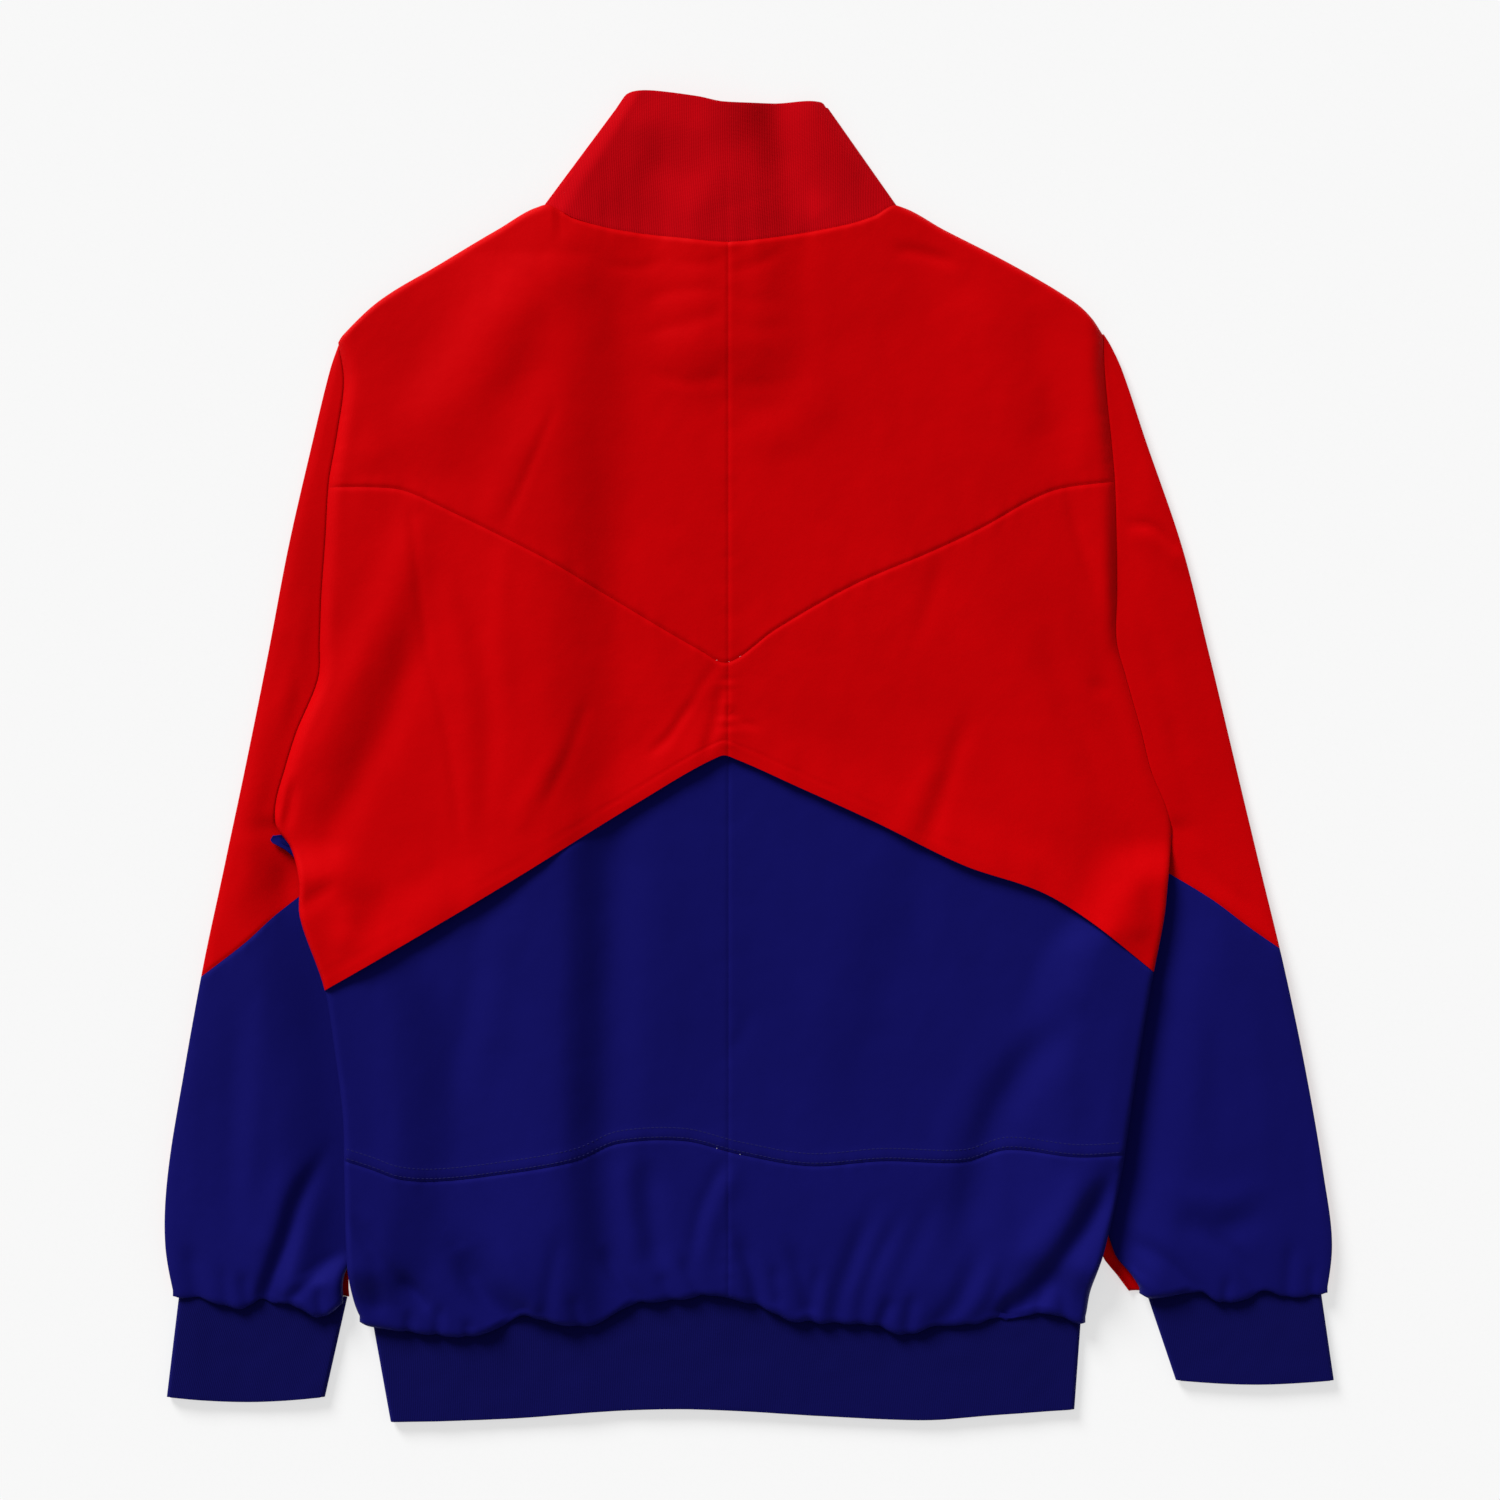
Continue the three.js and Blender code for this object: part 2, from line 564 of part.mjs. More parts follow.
// Distances along a line: close together at a rounded start or end, even between
function stations(length, count, startAt = [0], endAt = [0]) {
  const scale = Math.min(1, length / (1.5 * (startAt.at(-1) + endAt.at(-1)) + 0.01));
  const first = startAt.at(-1) * scale;
  const last = endAt.at(-1) * scale;
  const middle = Array.from({ length: count + 1 }, (_, i) => lerp(first, length - last, i / count));
  const start = startAt.slice(0, -1).map((d) => d * scale);
  const end = endAt.slice(0, -1).map((d) => length - d * scale);
  return [...start, ...middle, ...end.reverse()];
}
const ROLL_STEPS = [0, 0.45, 1.6, EDGE_ROLL];
const roundSide = (c, y) => c === 0 && y < UNDERARM_Y + 1;
const roundBoth = (c, y) => c > 0 || roundSide(c, y);
const HIDDEN_STEPS = [0, 0.9, EDGE_ROLL];
const SLEEVE_STEPS = [...ROLL_STEPS, 22];
const SIDE_STEPS = [0, 0.5, 2, 5, ARMHOLE_ROLL];

// Levels of a panel's rows at its side: the outline's own, with more where they lie far apart
function levels(outline, top, bottom, most) {
  const inside = outline.map((row) => row.y).filter((y) => y < top - 2 && y > bottom + 2);
  const ys = [top, ...inside, bottom];
  return ys.flatMap((y, i) => {
    if (i === 0) return [y];
    const count = Math.ceil((ys[i - 1] - y) / most);
    return Array.from({ length: count }, (_, k) => lerp(ys[i - 1], y, (k + 1) / count));
  });
}

// A grid over a panel between two side curves x(y) and a top and a bottom curve y(x). Its rows
// follow the levels at the first side, in the same shares of every column.
function panelGrid({ from, to, top, bottom, cols, at, sideSteps, endSteps }) {
  const share = at.map((y) => (at[0] - y) / (at[0] - at.at(-1)));
  return at.map((level, r) =>
    stations(100, cols, sideSteps, endSteps).map((_, c) => {
      let x = lerp(from(level), to(level), c / cols);
      let y = level;
      for (let pass = 0; pass < 24; pass++) {
        if (c > 0) y = lerp(top(x), bottom(x), share[r]);
        const way = Math.sign(to(y) - from(y));
        const across = stations(Math.abs(to(y) - from(y)), cols, sideSteps, endSteps)[c];
        x = lerp(x, from(y) + way * across, 0.7);
      }
      return { x, y };
    }),
  );
}
const raise = (grid, height) =>
  grid.map((line) => line.map(({ x, y }) => new THREE.Vector3(x, y, height(x, y))));

// The grid's last rows go round a bloused edge and in over the rib below it. They close up towards
// the sides, where the cloth goes round the edge.
function blouse(grid, edge, fromSide, floor) {
  const angles = [55, 20, -20, -62].map(THREE.MathUtils.degToRad);
  const last = grid.at(-1);
  for (const angle of angles) {
    grid.push(
      last.map((point) => {
        const turn = lerp(angle * 0.2 + 0.9, angle, smoothstep(fromSide(point), 0.5, EDGE_ROLL + 8));
        const radius = (point.z - floor(point.x, point.y) - RIB_LOFT - BLOUSE_GAP) / 2;
        const reach = point.y - edge(point.x);
        const y = point.y - reach * Math.cos(turn);
        return new THREE.Vector3(point.x, y, point.z - radius * (1 - Math.sin(turn)));
      }),
    );
  }
}

const MATERIALS = {
  redShell: { color: 0xc30008, roughness: 0.55 },
  blueShell: { color: 0x120f5c, roughness: 0.55 },
  redRib: { color: 0xac0a14, roughness: 0.85 },
  navyRib: { color: 0x0e0c46, roughness: 0.85 },
  zipTape: { color: 0x8c060c, roughness: 0.8 },
  zipMetal: { color: 0x9a9ca0, roughness: 0.35, metalness: 0.9 },
};
const jacket = new THREE.Group();
function add(name, geometry, slot) {
  const mesh = new THREE.Mesh(geometry, new THREE.MeshStandardMaterial(MATERIALS[slot]));
  mesh.name = name;
  jacket.add(mesh);
  return mesh;
}

// Back: yoke, cape, body and gathered lower panel on each side of the centre seam
const half = SEAM / 2;
const BACK_COLUMNS = 10;
function addBack(side) {
  const out = OUT[side];
  const edge = (y) => bodyEdge[side](y) - out * half;
  const centre = () => CENTRE + out * half;
  const atSide = (seam) => seam(edge(seam(edge(0))));
  const panel = (extra, top, bottom, { from = edge, most = 33, inset = () => 0 } = {}) => {
    const at = levels(BODY_EDGE, atSide(top), atSide(bottom), most);
    const shape = { from, to: centre, cols: BACK_COLUMNS, sideSteps: SIDE_STEPS };
    const plan = panelGrid({ ...shape, top, bottom, at });
    return raise(plan, (x, y) => backFace(side, x, y, extra(x, y), inset(y)));
  };
  const lowered = (seam, by) => (x) => seam(x) - by;

  const over = () => CAPE_STEP;
  const under = (x, y) => -smoothstep(y - capeEdge(x), 1, 12);
  const yoke = panel(over, yokeTop, lowered(yokeSeam, -half), { most: 14 });
  add("back_yoke_" + side, wall(yoke, SHELL, { turnedTop: true }), "redShell");

  const cape = panel(over, lowered(yokeSeam, half), capeEdge);
  add("back_cape_" + side, wall(cape, SHELL, { rounded: roundSide }), "redShell");

  // The blue body's edge steps in under the cape's rounded side
  const corner = atSide(capeEdge);
  const inset = (y) =>
    2.4 * smoothstep(y, corner - 14, corner - 1) + 6 * smoothstep(y, corner + 4, corner + 18);
  const body = panel(under, lowered(capeEdge, -CAPE_UNDERLAP), lowered(lowerSeam, -SEAM), {
    from: (y) => edge(y) - out * inset(y),
    inset,
  });
  add("back_body_" + side, wall(body, SHELL, { rounded: roundSide }), "blueShell");

  const lower = panel(() => 0, lowered(lowerSeam, half), lowered(blouseEdge, -BLOUSE_ROLL), { most: 14 });
  blouse(lower, blouseEdge, (point) => out * (bodyEdge[side](point.y) - point.x), lowerFace);
  add("back_lower_" + side, wall(lower, SHELL, { rounded: roundSide }), "blueShell");
}
SIDES.forEach(addBack);

// Fronts, which lie on the table: red above, blue below
const FRONT_COLUMNS = 10;
function bandFrontSeam(x) {
  const { seamLeft, seamRight } = HEM_CORNERS;
  return THREE.MathUtils.mapLinear(x, seamLeft, seamRight, bandSeam(seamLeft), bandSeam(seamRight));
}
function addFront(side) {
  const out = OUT[side];
  const edge = (y) => bodyEdge[side](y) - out * half;
  const to = () => CENTRE + out * (ZIP_REVEAL + SEAM);
  const panel = (top, bottom, highest, lowest, most) => {
    const at = levels(BODY_EDGE, highest, lowest, most);
    const plan = panelGrid({ from: edge, to, top, bottom, at, cols: FRONT_COLUMNS, sideSteps: HIDDEN_STEPS });
    const face = raise(plan, (x, y) => frontFace(side, x, y));
    return wall(face, SHELL, { up: false, turnedTop: highest > 0, rounded: roundSide });
  };
  const upperTop = (x) => frontTop(x) - FRONT_NECK_EASE;
  const shoulder = upperTop(edge(SHOULDER_Y[side]));
  const seam = FRONT_SEAM_Y;
  add("front_upper_" + side, panel(upperTop, () => seam + half, shoulder, seam + half, 30), "redShell");
  const hem = (x) => bandFrontSeam(x) + 2 * SEAM;
  add("front_lower_" + side, panel(() => seam - half, hem, seam - half, hem(edge(-338)), 34), "blueShell");
}
SIDES.forEach(addFront);

// Sleeves: a red head and a blue lower part on top, a red under sleeve on the table
const SLEEVE_COLUMNS = 4;
function addSleeve(side) {
  const out = OUT[side];
  const inner = (y) => sleeveInner(side, y) + out * half;
  const outer = sleeveOuter[side];
  const shownInner = (y) => inner(y) + out * (sleevePeek[side](y) - SEAM);
  const middle = (x, y) => sleeveLoft(side, x, y) / 2;
  const upperFace = (x, y) => {
    const start = middle(x, y) + 2 * SEAM;
    const rim = sleeveRim(side, x, y, shownInner(y), outer(y));
    return start + (sleeveLoft(side, x, y) - start) * rim;
  };
  const underFace = (x, y) => {
    const start = Math.min(middle(x, y), SLEEVE_UNDER_BODY) - SEAM;
    return start * (1 - sleeveRim(side, x, y, inner(y), outer(y)));
  };
  const shape = { to: outer, cols: SLEEVE_COLUMNS, sideSteps: SLEEVE_STEPS, endSteps: ROLL_STEPS };
  const top = () => SHOULDER_Y[side];
  const seam = (above) => (x) => sleeveSeam[side](x) + 1.7 * above;
  const meet = (curveOf) => [1, 2, 3, 4].reduce((y) => curveOf(inner(y)), -75);
  const seamY = meet(sleeveSeam[side]);
  const bottom = sleeveBottom[side];
  const armhole = BODY_EDGE.filter((row) => row.y > UNDERARM_Y);
  const outline = [...armhole, { y: seamY }, ...SLEEVE_INNER].sort((a, b) => b.y - a.y);
  const bottomY = bottom(inner(-330));

  const headLevels = levels(outline, SHOULDER_Y[side], seamY + half, 34);
  const head = panelGrid({ ...shape, from: shownInner, top, bottom: seam(half), at: headLevels });
  add("sleeve_upper_" + side, wall(raise(head, upperFace), SHELL, { rounded: roundBoth }), "redShell");

  const above = (x) => bottom(x) + BLOUSE_ROLL;
  const lowerLevels = levels(outline, seamY - half, bottomY + BLOUSE_ROLL, 24);
  const plan = panelGrid({ ...shape, from: shownInner, top: seam(-half), bottom: above, at: lowerLevels });
  const lower = raise(plan, upperFace);
  const fromSide = ({ x, y }) => Math.min(Math.abs(x - shownInner(y)), Math.abs(outer(y) - x));
  blouse(lower, bottom, fromSide, () => 0);
  add("sleeve_lower_" + side, wall(lower, SHELL, { rounded: roundBoth }), "blueShell");

  const cuffSeam = (x) => cuffFrontSeam(side, x) + SEAM;
  const underLevels = levels(outline, SHOULDER_Y[side], cuffSeam(inner(-330)), 34);
  const hidden = { sideSteps: HIDDEN_STEPS, endSteps: HIDDEN_STEPS, cols: 3 };
  const under = panelGrid({ ...shape, ...hidden, from: inner, top, bottom: cuffSeam, at: underLevels });
  const underWall = wall(raise(under, underFace), SHELL, { up: false, rounded: roundBoth });
  add("under_sleeve_" + side, underWall, "redShell");
}

// A flat rib tube between two edges, each given as a plan point at 0 to 1 from left to right, for
// its upper layer and, where it differs, for its lower one. It starts and ends in the middle of its
// lower layer, where an open one leaves room for the zip.
function ribTube({ seamUp, seamDown = seamUp, edgeUp, edgeDown = edgeUp, across, rows, ...rest }) {
  const { open = false, floor = lowerFace } = rest;
  const bend = RIB_LOFT / 2;
  const folded = [-1, -1 / 3, 1 / 3, 1].map((t) => (t * Math.PI) / 2);
  const grid = [];
  for (let r = 0; r <= rows; r++) {
    const blend = (seam, edge) => (a) => seam(a).lerp(edge(a), r / rows);
    const up = blend(seamUp, edgeUp);
    const down = blend(seamDown, edgeDown);
    const left = up(0);
    const right = up(1);
    const share = (x) => clamp((x - left.x) / (right.x - left.x), 0, 1);
    const layer = (of, x, high) => {
      const { y } = of(share(x));
      return new THREE.Vector3(x, y, floor(x, y) + high);
    };
    const between = (from, to, count) =>
      Array.from({ length: count - 1 }, (_, i) => lerp(from, to, (i + 1) / count));
    const fold = (edge, way) =>
      folded.map((angle) => {
        const x = edge.x + way * bend * (1 - Math.cos(angle));
        return new THREE.Vector3(x, edge.y, floor(x, edge.y) + bend * (1 + Math.sin(angle)));
      });
    const inLeft = left.x + bend;
    const inRight = right.x - bend;
    const middle = open ? CENTRE : lerp(left.x, right.x, 0.5);
    const gap = open ? ZIP_REVEAL + SEAM : 0;
    const each = Math.round(across * 0.4);
    const lowLeft = [middle - gap, ...between(middle - gap, inLeft, each)];
    const lowRight = [...between(inRight, middle + gap, each), ...(open ? [middle + gap] : [])];
    grid.push([
      ...lowLeft.map((x) => layer(down, x, 0)),
      ...fold(left, 1),
      ...between(inLeft, inRight, across).map((x) => layer(up, x, RIB_LOFT)),
      ...fold(right, -1).reverse(),
      ...lowRight.map((x) => layer(down, x, 0)),
    ]);
  }
  return wall(grid, RIB, { ring: !open });
}
const point = (x, y) => new THREE.Vector2(x, y);

// Cuffs, straight across at the seam with the under sleeve
function cuffFrontSeam(side, x) {
  const { seamLeft, seamRight } = CUFF_CORNERS[side];
  const ends = [seamLeft, seamRight].map((at) => sleeveBottom[side](at) + RIB_UNDERLAP);
  return THREE.MathUtils.mapLinear(x, seamLeft, seamRight, ...ends);
}
for (const side of SIDES) {
  const cuff = CUFF_CORNERS[side];
  const seamX = (a) => lerp(cuff.seamLeft, cuff.seamRight, a);
  const seamUp = (a) => point(seamX(a), sleeveBottom[side](seamX(a)) + RIB_UNDERLAP);
  const seamDown = (a) => point(seamX(a), cuffFrontSeam(side, seamX(a)));
  const edgeX = (a) => lerp(cuff.edgeLeft, cuff.edgeRight, a);
  const edgeUp = (a) => point(edgeX(a), cuff.edgeY + cuff.edgeBow * Math.sin(Math.PI * a));
  add("cuff_" + side, ribTube({ seamUp, seamDown, edgeUp, across: 8, rows: 3, floor: () => 0 }), "navyRib");
}
SIDES.forEach(addSleeve);

// Hem band, open at the zip
const hemX = (a) => lerp(HEM_CORNERS.seamLeft, HEM_CORNERS.seamRight, a);
const hemEdgeX = (a) => lerp(HEM_CORNERS.edgeLeft, HEM_CORNERS.edgeRight, a);
const hemBand = ribTube({
  seamUp: (a) => point(hemX(a), bandSeam(hemX(a))),
  seamDown: (a) => point(hemX(a), bandFrontSeam(hemX(a))),
  edgeUp: (a) => point(hemEdgeX(a), hemEdge(hemEdgeX(a))),
  across: 26,
  rows: 3,
  open: true,
});
add("hem_band", hemBand, "navyRib");

// Collar, open at the zip; its front half lies lower, behind the back one
const neckX = (a) => lerp(COLLAR_CORNERS.seamLeft, COLLAR_CORNERS.seamRight, a);
const topX = (a) => lerp(COLLAR_CORNERS.edgeLeft, COLLAR_CORNERS.edgeRight, a);
const collar = ribTube({
  seamUp: (a) => point(neckX(a), yokeTop(neckX(a)) + SEAM),
  seamDown: (a) => point(neckX(a), frontTop(neckX(a)) + SEAM),
  edgeUp: (a) => point(topX(a), collarTop(topX(a))),
  edgeDown: (a) => point(topX(a), collarTop(topX(a)) - FRONT_NECK_DROP * frontNeckDrop(neckX(a))),
  across: 16,
  rows: 5,
  open: true,
});
add("collar", collar, "redRib");

// Rows of the tapes where they rise to the slider and part at its post
const ZIP_ROWS = [-1, -8, -24, -44, -58, -72, -92].map((above) => ({ y: ZIP.y + above }));

// Zip tapes, along the fronts' edges from the hem to the top of the collar
for (const side of SIDES) {
  const out = OUT[side];
  const top = frontTop(CENTRE) + COLLAR_HEIGHT - 4;
  const bottom = hemEdge(CENTRE) + 2;
  const parting = (y) => (ZIP.post / 2) * smoothstep(y, ZIP.y - 8, ZIP.y - 1);
  const tape = panelGrid({
    from: (y) => CENTRE + out * (SEAM + parting(y)),
    to: () => CENTRE + out * ZIP_REVEAL,
    top: () => top,
    bottom: () => bottom,
    cols: 1,
    at: levels(ZIP_ROWS, top, bottom, 60),
  });
  add("zip_tape_" + side, wall(raise(tape, lowerFace), ZIP.tape, { up: false }), "zipTape");
}

// Slider: two plates joined by a post between the tapes, with an arch that carries the pull
const wasm = await Module();
wasm.setup();
function solidOf(geometry) {
  const plain = mergeVertices(geometry.deleteAttribute("normal").deleteAttribute("uv"), 1e-4);
  const vertProperties = new Float32Array(plain.getAttribute("position").array);
  const triVerts = new Uint32Array(plain.getIndex().array);
  return new wasm.Manifold(new wasm.Mesh({ numProp: 3, vertProperties, triVerts }));
}
function geometryOf(solid) {
  const mesh = solid.getMesh();
  const geometry = new THREE.BufferGeometry();
  geometry.setAttribute("position", new THREE.Float32BufferAttribute(mesh.vertProperties, 3));
  geometry.setIndex([...mesh.triVerts]);
  geometry.computeVertexNormals();
  return geometry;
}
function block(width, length, height, x, y, z) {
  return solidOf(new THREE.BoxGeometry(width, length, height).translate(x, y, z));
}
// A plate with round corners, lying flat at a height
function plate(width, length, thickness, corner, z) {
  const shape = new THREE.Shape();
  const [w, l] = [width / 2, length / 2];
  shape.moveTo(-w + corner, -l);
  shape.lineTo(w - corner, -l);
  shape.absarc(w - corner, -l + corner, corner, -Math.PI / 2, 0);
  shape.absarc(w - corner, l - corner, corner, 0, Math.PI / 2);
  shape.absarc(-w + corner, l - corner, corner, Math.PI / 2, Math.PI);
  shape.absarc(-w + corner, -l + corner, corner, Math.PI, 1.5 * Math.PI);
  const options = { depth: thickness, bevelEnabled: false, curveSegments: 3 };
  return solidOf(new THREE.ExtrudeGeometry(shape, options).translate(0, 0, z));
}
const tapeLow = ZIP.lift;
const plateLow = tapeLow - SEAM - ZIP.plate;
const innerPlateLow = tapeLow + ZIP.tape + SEAM;
const archLow = plateLow - ZIP.archWindow - ZIP.archBar;
const barZ = plateLow - ZIP.archWindow / 2;
const postZ = (innerPlateLow + plateLow + ZIP.plate) / 2;
const sliderBody = plate(ZIP.plateWidth, ZIP.plateLength, ZIP.plate, 2, plateLow)
  .add(plate(ZIP.plateWidth, ZIP.plateLength, ZIP.plate, 2, innerPlateLow))
  .add(block(ZIP.post, ZIP.plateLength / 3, innerPlateLow - plateLow, 0, ZIP.plateLength / 4, postZ))
  .add(block(ZIP.archWidth, ZIP.archSpan, ZIP.archBar, 0, 0, archLow + ZIP.archBar / 2));
const legHeight = plateLow - archLow + 0.2;
const legY = (ZIP.archSpan - ZIP.archBar) / 2;
const slider = [-legY, legY].reduce(
  (body, y) => body.add(block(ZIP.archWidth, ZIP.archBar, legHeight, 0, y, archLow + legHeight / 2)),
  sliderBody,
);
add("zip_slider", geometryOf(slider), "zipMetal").position.set(CENTRE, ZIP.y, 0);

// Pull: a loop whose bar lies in the arch, and a tab with a round end
const loopWidth = 2 * (ZIP.archWidth / 2 + ZIP.loopClear + ZIP.loopArm);
const loopLength = ZIP.bar + ZIP.loopInside + ZIP.loopArm;
const tabY = -ZIP.loopInside - ZIP.bar / 2 - ZIP.tabLength / 2;
const tab = plate(ZIP.tabWidth, ZIP.tabLength, ZIP.tab, 2.2, -ZIP.tab / 2).translate([0, tabY, 0]);
const openingY = -(ZIP.bar + ZIP.loopInside) / 2;
const opening = block(ZIP.archWidth + 2 * ZIP.loopClear, ZIP.loopInside, 2 * ZIP.bar, 0, openingY, 0);
const loop = plate(loopWidth, loopLength, ZIP.bar, 1.2, -ZIP.bar / 2)
  .translate([0, ZIP.bar / 2 - loopLength / 2, 0])
  .subtract(opening);
const pull = add("zip_pull", geometryOf(loop.add(tab)), "zipMetal");
pull.position.set(CENTRE, ZIP.y, barZ);
pull.rotation.x = ZIP.tilt;

// The origin is under the middle of the whole jacket
const middle = new THREE.Box3().setFromObject(jacket).getCenter(new THREE.Vector3());
jacket.position.set(-middle.x, -middle.y, 0);

export default jacket;
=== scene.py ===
"""A windbreaker jacket that lies face down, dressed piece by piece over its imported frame.

Lengths in the tables are millimetres in the jacket's own plan: +X right, +Y towards the collar,
+Z up from the table. place() turns them into the frame's metres. The plan's curves are the cut
lines of the jacket, seen from straight above, and a face's height is worked out over them.
"""

import math

import bpy
import numpy as np
from bpy.props import FloatProperty, FloatVectorProperty, PointerProperty
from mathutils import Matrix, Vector


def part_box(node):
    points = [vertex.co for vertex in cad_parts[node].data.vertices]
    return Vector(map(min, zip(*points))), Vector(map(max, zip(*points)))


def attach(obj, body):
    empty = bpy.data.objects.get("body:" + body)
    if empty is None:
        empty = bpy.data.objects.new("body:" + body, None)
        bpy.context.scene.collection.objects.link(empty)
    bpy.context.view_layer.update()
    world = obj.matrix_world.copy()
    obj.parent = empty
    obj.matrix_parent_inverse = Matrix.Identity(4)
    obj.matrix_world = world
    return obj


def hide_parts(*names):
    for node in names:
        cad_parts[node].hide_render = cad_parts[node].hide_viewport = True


bl_info = {
    "name": "Windbreaker jacket",
    "version": (1, 0, 0),
    "blender": (4, 5, 0),
    "location": "View3D > Sidebar > Jacket",
    "description": "Dresses a windbreaker jacket that is laid flat, panel by panel",
    "category": "Object",
}

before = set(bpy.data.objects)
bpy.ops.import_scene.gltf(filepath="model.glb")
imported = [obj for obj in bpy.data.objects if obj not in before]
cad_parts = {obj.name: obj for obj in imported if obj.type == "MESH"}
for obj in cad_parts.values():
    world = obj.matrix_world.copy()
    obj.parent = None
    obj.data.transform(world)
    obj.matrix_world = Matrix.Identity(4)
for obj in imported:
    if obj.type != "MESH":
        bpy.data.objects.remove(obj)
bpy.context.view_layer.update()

MM = 0.001
CENTRE = -13.0  # x of the centre back seam and of the zip
SEAM = 0.3  # gap of the CAD's panels at a seam
BUTT = 0.05  # half the gap of the scene's own panels at a seam
CENTRE_LAP = 0.04  # how far each side of the back goes past its centre seam, to let no light in
YOKE_SLOPE, SHOULDER_SLOPE, SLEEVE_SLOPE = 0.87, 0.86, 0.8  # cosines of the seams' slopes
SHELL_STEP = 2.4  # the cape's face stands this much above the blue back's
CAPE_UNDERLAP = 48.0  # how far the blue body goes up under the cape
UNDERARM_Y = -42.0
FRONT_SEAM_Y = -47.0
RIB_LOFT = 5.6  # height of a cuff, the hem band or the collar
RIB_UNDERLAP = 3.2  # how far a rib goes in under the bloused edge
BLOUSE_GAP = 0.5
BLOUSE_ROLL = 4.4
EDGE_ROLL = 4.0  # how far in from an edge the face turns down to it
ARMHOLE_ROLL = 9.0
ARMHOLE_SEAM_HEIGHT = 5.2
SLEEVE_UNDER_BODY = 3.6
BODY_OVER_SLEEVE = 7.6
ARMHOLE_TUCK = 2.0  # how far the sleeve goes in under the body at its seam
TUCK_DEPTH = 2.4
SLEEVE_LOFT = 3.6  # height of a sleeve over its own seam at the body
SHOULDER_WALL = 2.6  # height of the back over the front at the shoulder's end
SLEEVE_TIP = 2.5  # how far the under sleeve ends below the sleeve's tip at the shoulder
HIDDEN_CELL = 1.6  # the hidden side's mesh spacing, as a share of the back's
FRONT_NECK_DROP = 80.0
BACK_NECK_DROP = 22.0
FRONT_NECK_EASE = 1.8
COLLAR_HEIGHT = 82.0
BELOW_YOKE = 1.2  # how far the collar's seam is below the yoke's face
LEAST_LOFT = 3.6
TABLE_SIZE = 9.0  # metres
TABLE_DROP = 0.0006  # metres below the jacket
MIDDLE_FACE = 0.008  # metres: the height at which the picture's width is measured
PICTURE_MIDDLE = (0.0, 4.2, 0.0)
ZIP_Y = 296.0  # y of the slider
ZIP_LIFT = 4.5  # room for the slider under the cloth
ZIP_REVEAL = 7.0  # from the zip's middle to the edge of a front
TAPE_EDGE = 0.6  # from the zip's middle to the tape's inner edge
TAPE_HEIGHT = 0.75
TAPE_WALL = 0.0006  # metres
TEETH_PARTING = 1.3  # how far the teeth are apart above the slider, each side
TOOTH = (3.4, 1.25, 1.9)
TOOTH_HEIGHT = 1.05
CLOSED_TOOTH_X = 0.75  # from the zip's middle, to left and right by turns
OPEN_TOOTH_X = 1.1  # from there too, beyond the parting
STITCH_ROWS = (1.9, 7.6)  # above the lower back seam
STITCH_PROUD = 0.05
STITCH_SECTION = (0.00022, 0.00016)  # half widths in metres
RIM_BEVEL = 0.0002  # rounding of a shell's cut edge, in metres
RIB_BEVEL = 0.0007
PIT = {"x": -280.0, "y": -76.0, "wide": 9.0, "long": 15.0, "deep": 2.4}  # at the left underarm
PATCH_LIFT = 3.2
LEFT_PATCH = {"y": -51.0, "long": 5.0, "out": 9.5}  # where the blue front shows at that underarm
SIDES = ("left", "right")
OUT = {"left": -1.0, "right": 1.0}
NECK_POINT = {"left": -124.0, "right": 88.5}
NECK_POINT_Y = 331.0
SHOULDER_Y = {"left": 249.0, "right": 254.0}
COLUMN = {"left": 1, "right": 2}

# y, left x, right x: armhole seams down to the underarms, then the side edges
BODY_EDGE = (
    (252, -248, 212), (226, -244, 213.2), (194, -248, 216.5), (165, -253, 219), (130, -255.2, 220),
    (98, -257.5, 220.3), (70, -258.5, 220), (47, -259.5, 226), (15, -272.5, 235), (-9, -280, 241),
    (-28, -285, 249), (-42, -284.5, 253.5), (-54, -276, 253), (-74, -270.2, 250.7),
    (-96, -269.6, 248.4), (-138, -255.2, 240.3), (-175, -249, 234), (-215, -244, 227.8),
    (-250, -243, 222.5), (-295, -241.8, 212.5), (-319, -239.4, 204.5), (-335, -234.6, 201.6),
    (-348, -224, 197.5),
)
# y, left x, right x: outer edges of the sleeves
SLEEVE_OUTER = (
    (256, -244, 211.5), (247, -247.6, 217), (232, -252.6, 223.8), (190, -262.8, 237.8),
    (127, -277.2, 259.4), (64, -289.2, 275.4), (1, -301.8, 290.4), (-62, -315, 305.4),
    (-125, -328.2, 320.4), (-188, -339.6, 333.6), (-251, -349.6, 344.4), (-293, -351, 349.4),
    (-332, -344, 344.5),
)
# y, left x, right x: inner edges of the sleeves below the underarms
SLEEVE_INNER = (
    (-42, -285.2, 254.2), (-54, -276.7, 253.7), (-74, -269.6, 250.2), (-96, -261, 240),
    (-118, -242, 223), (-150, -230, 212), (-200, -225, 207), (-250, -228, 207.5),
    (-298, -236, 211), (-312, -241, 221), (-332, -240, 236),
)
# y, left, right: how far the under sleeve shows beside the upper one
SLEEVE_PEEK = (
    (-250, 0.3, 0.3), (-290, 1, 7), (-312, 3, 9), (-332, 4, 5),
)
# x, y: shoulder lines with the neck seam between them
YOKE_TOP = (
    (-249, 246), (-244.8, 253.2), (-222.6, 274.2), (-187.8, 295.2), (-152.4, 316.2), (-124, 331),
    (-105, 322.8), (-81, 316.6), (-46.8, 312), (-13, 308.8), (22.2, 312.8), (56.4, 319.2),
    (73.8, 324.4), (88.5, 331), (117.6, 316.2), (158.4, 295.2), (193.8, 274.2), (205, 264),
    (213.5, 251),
)
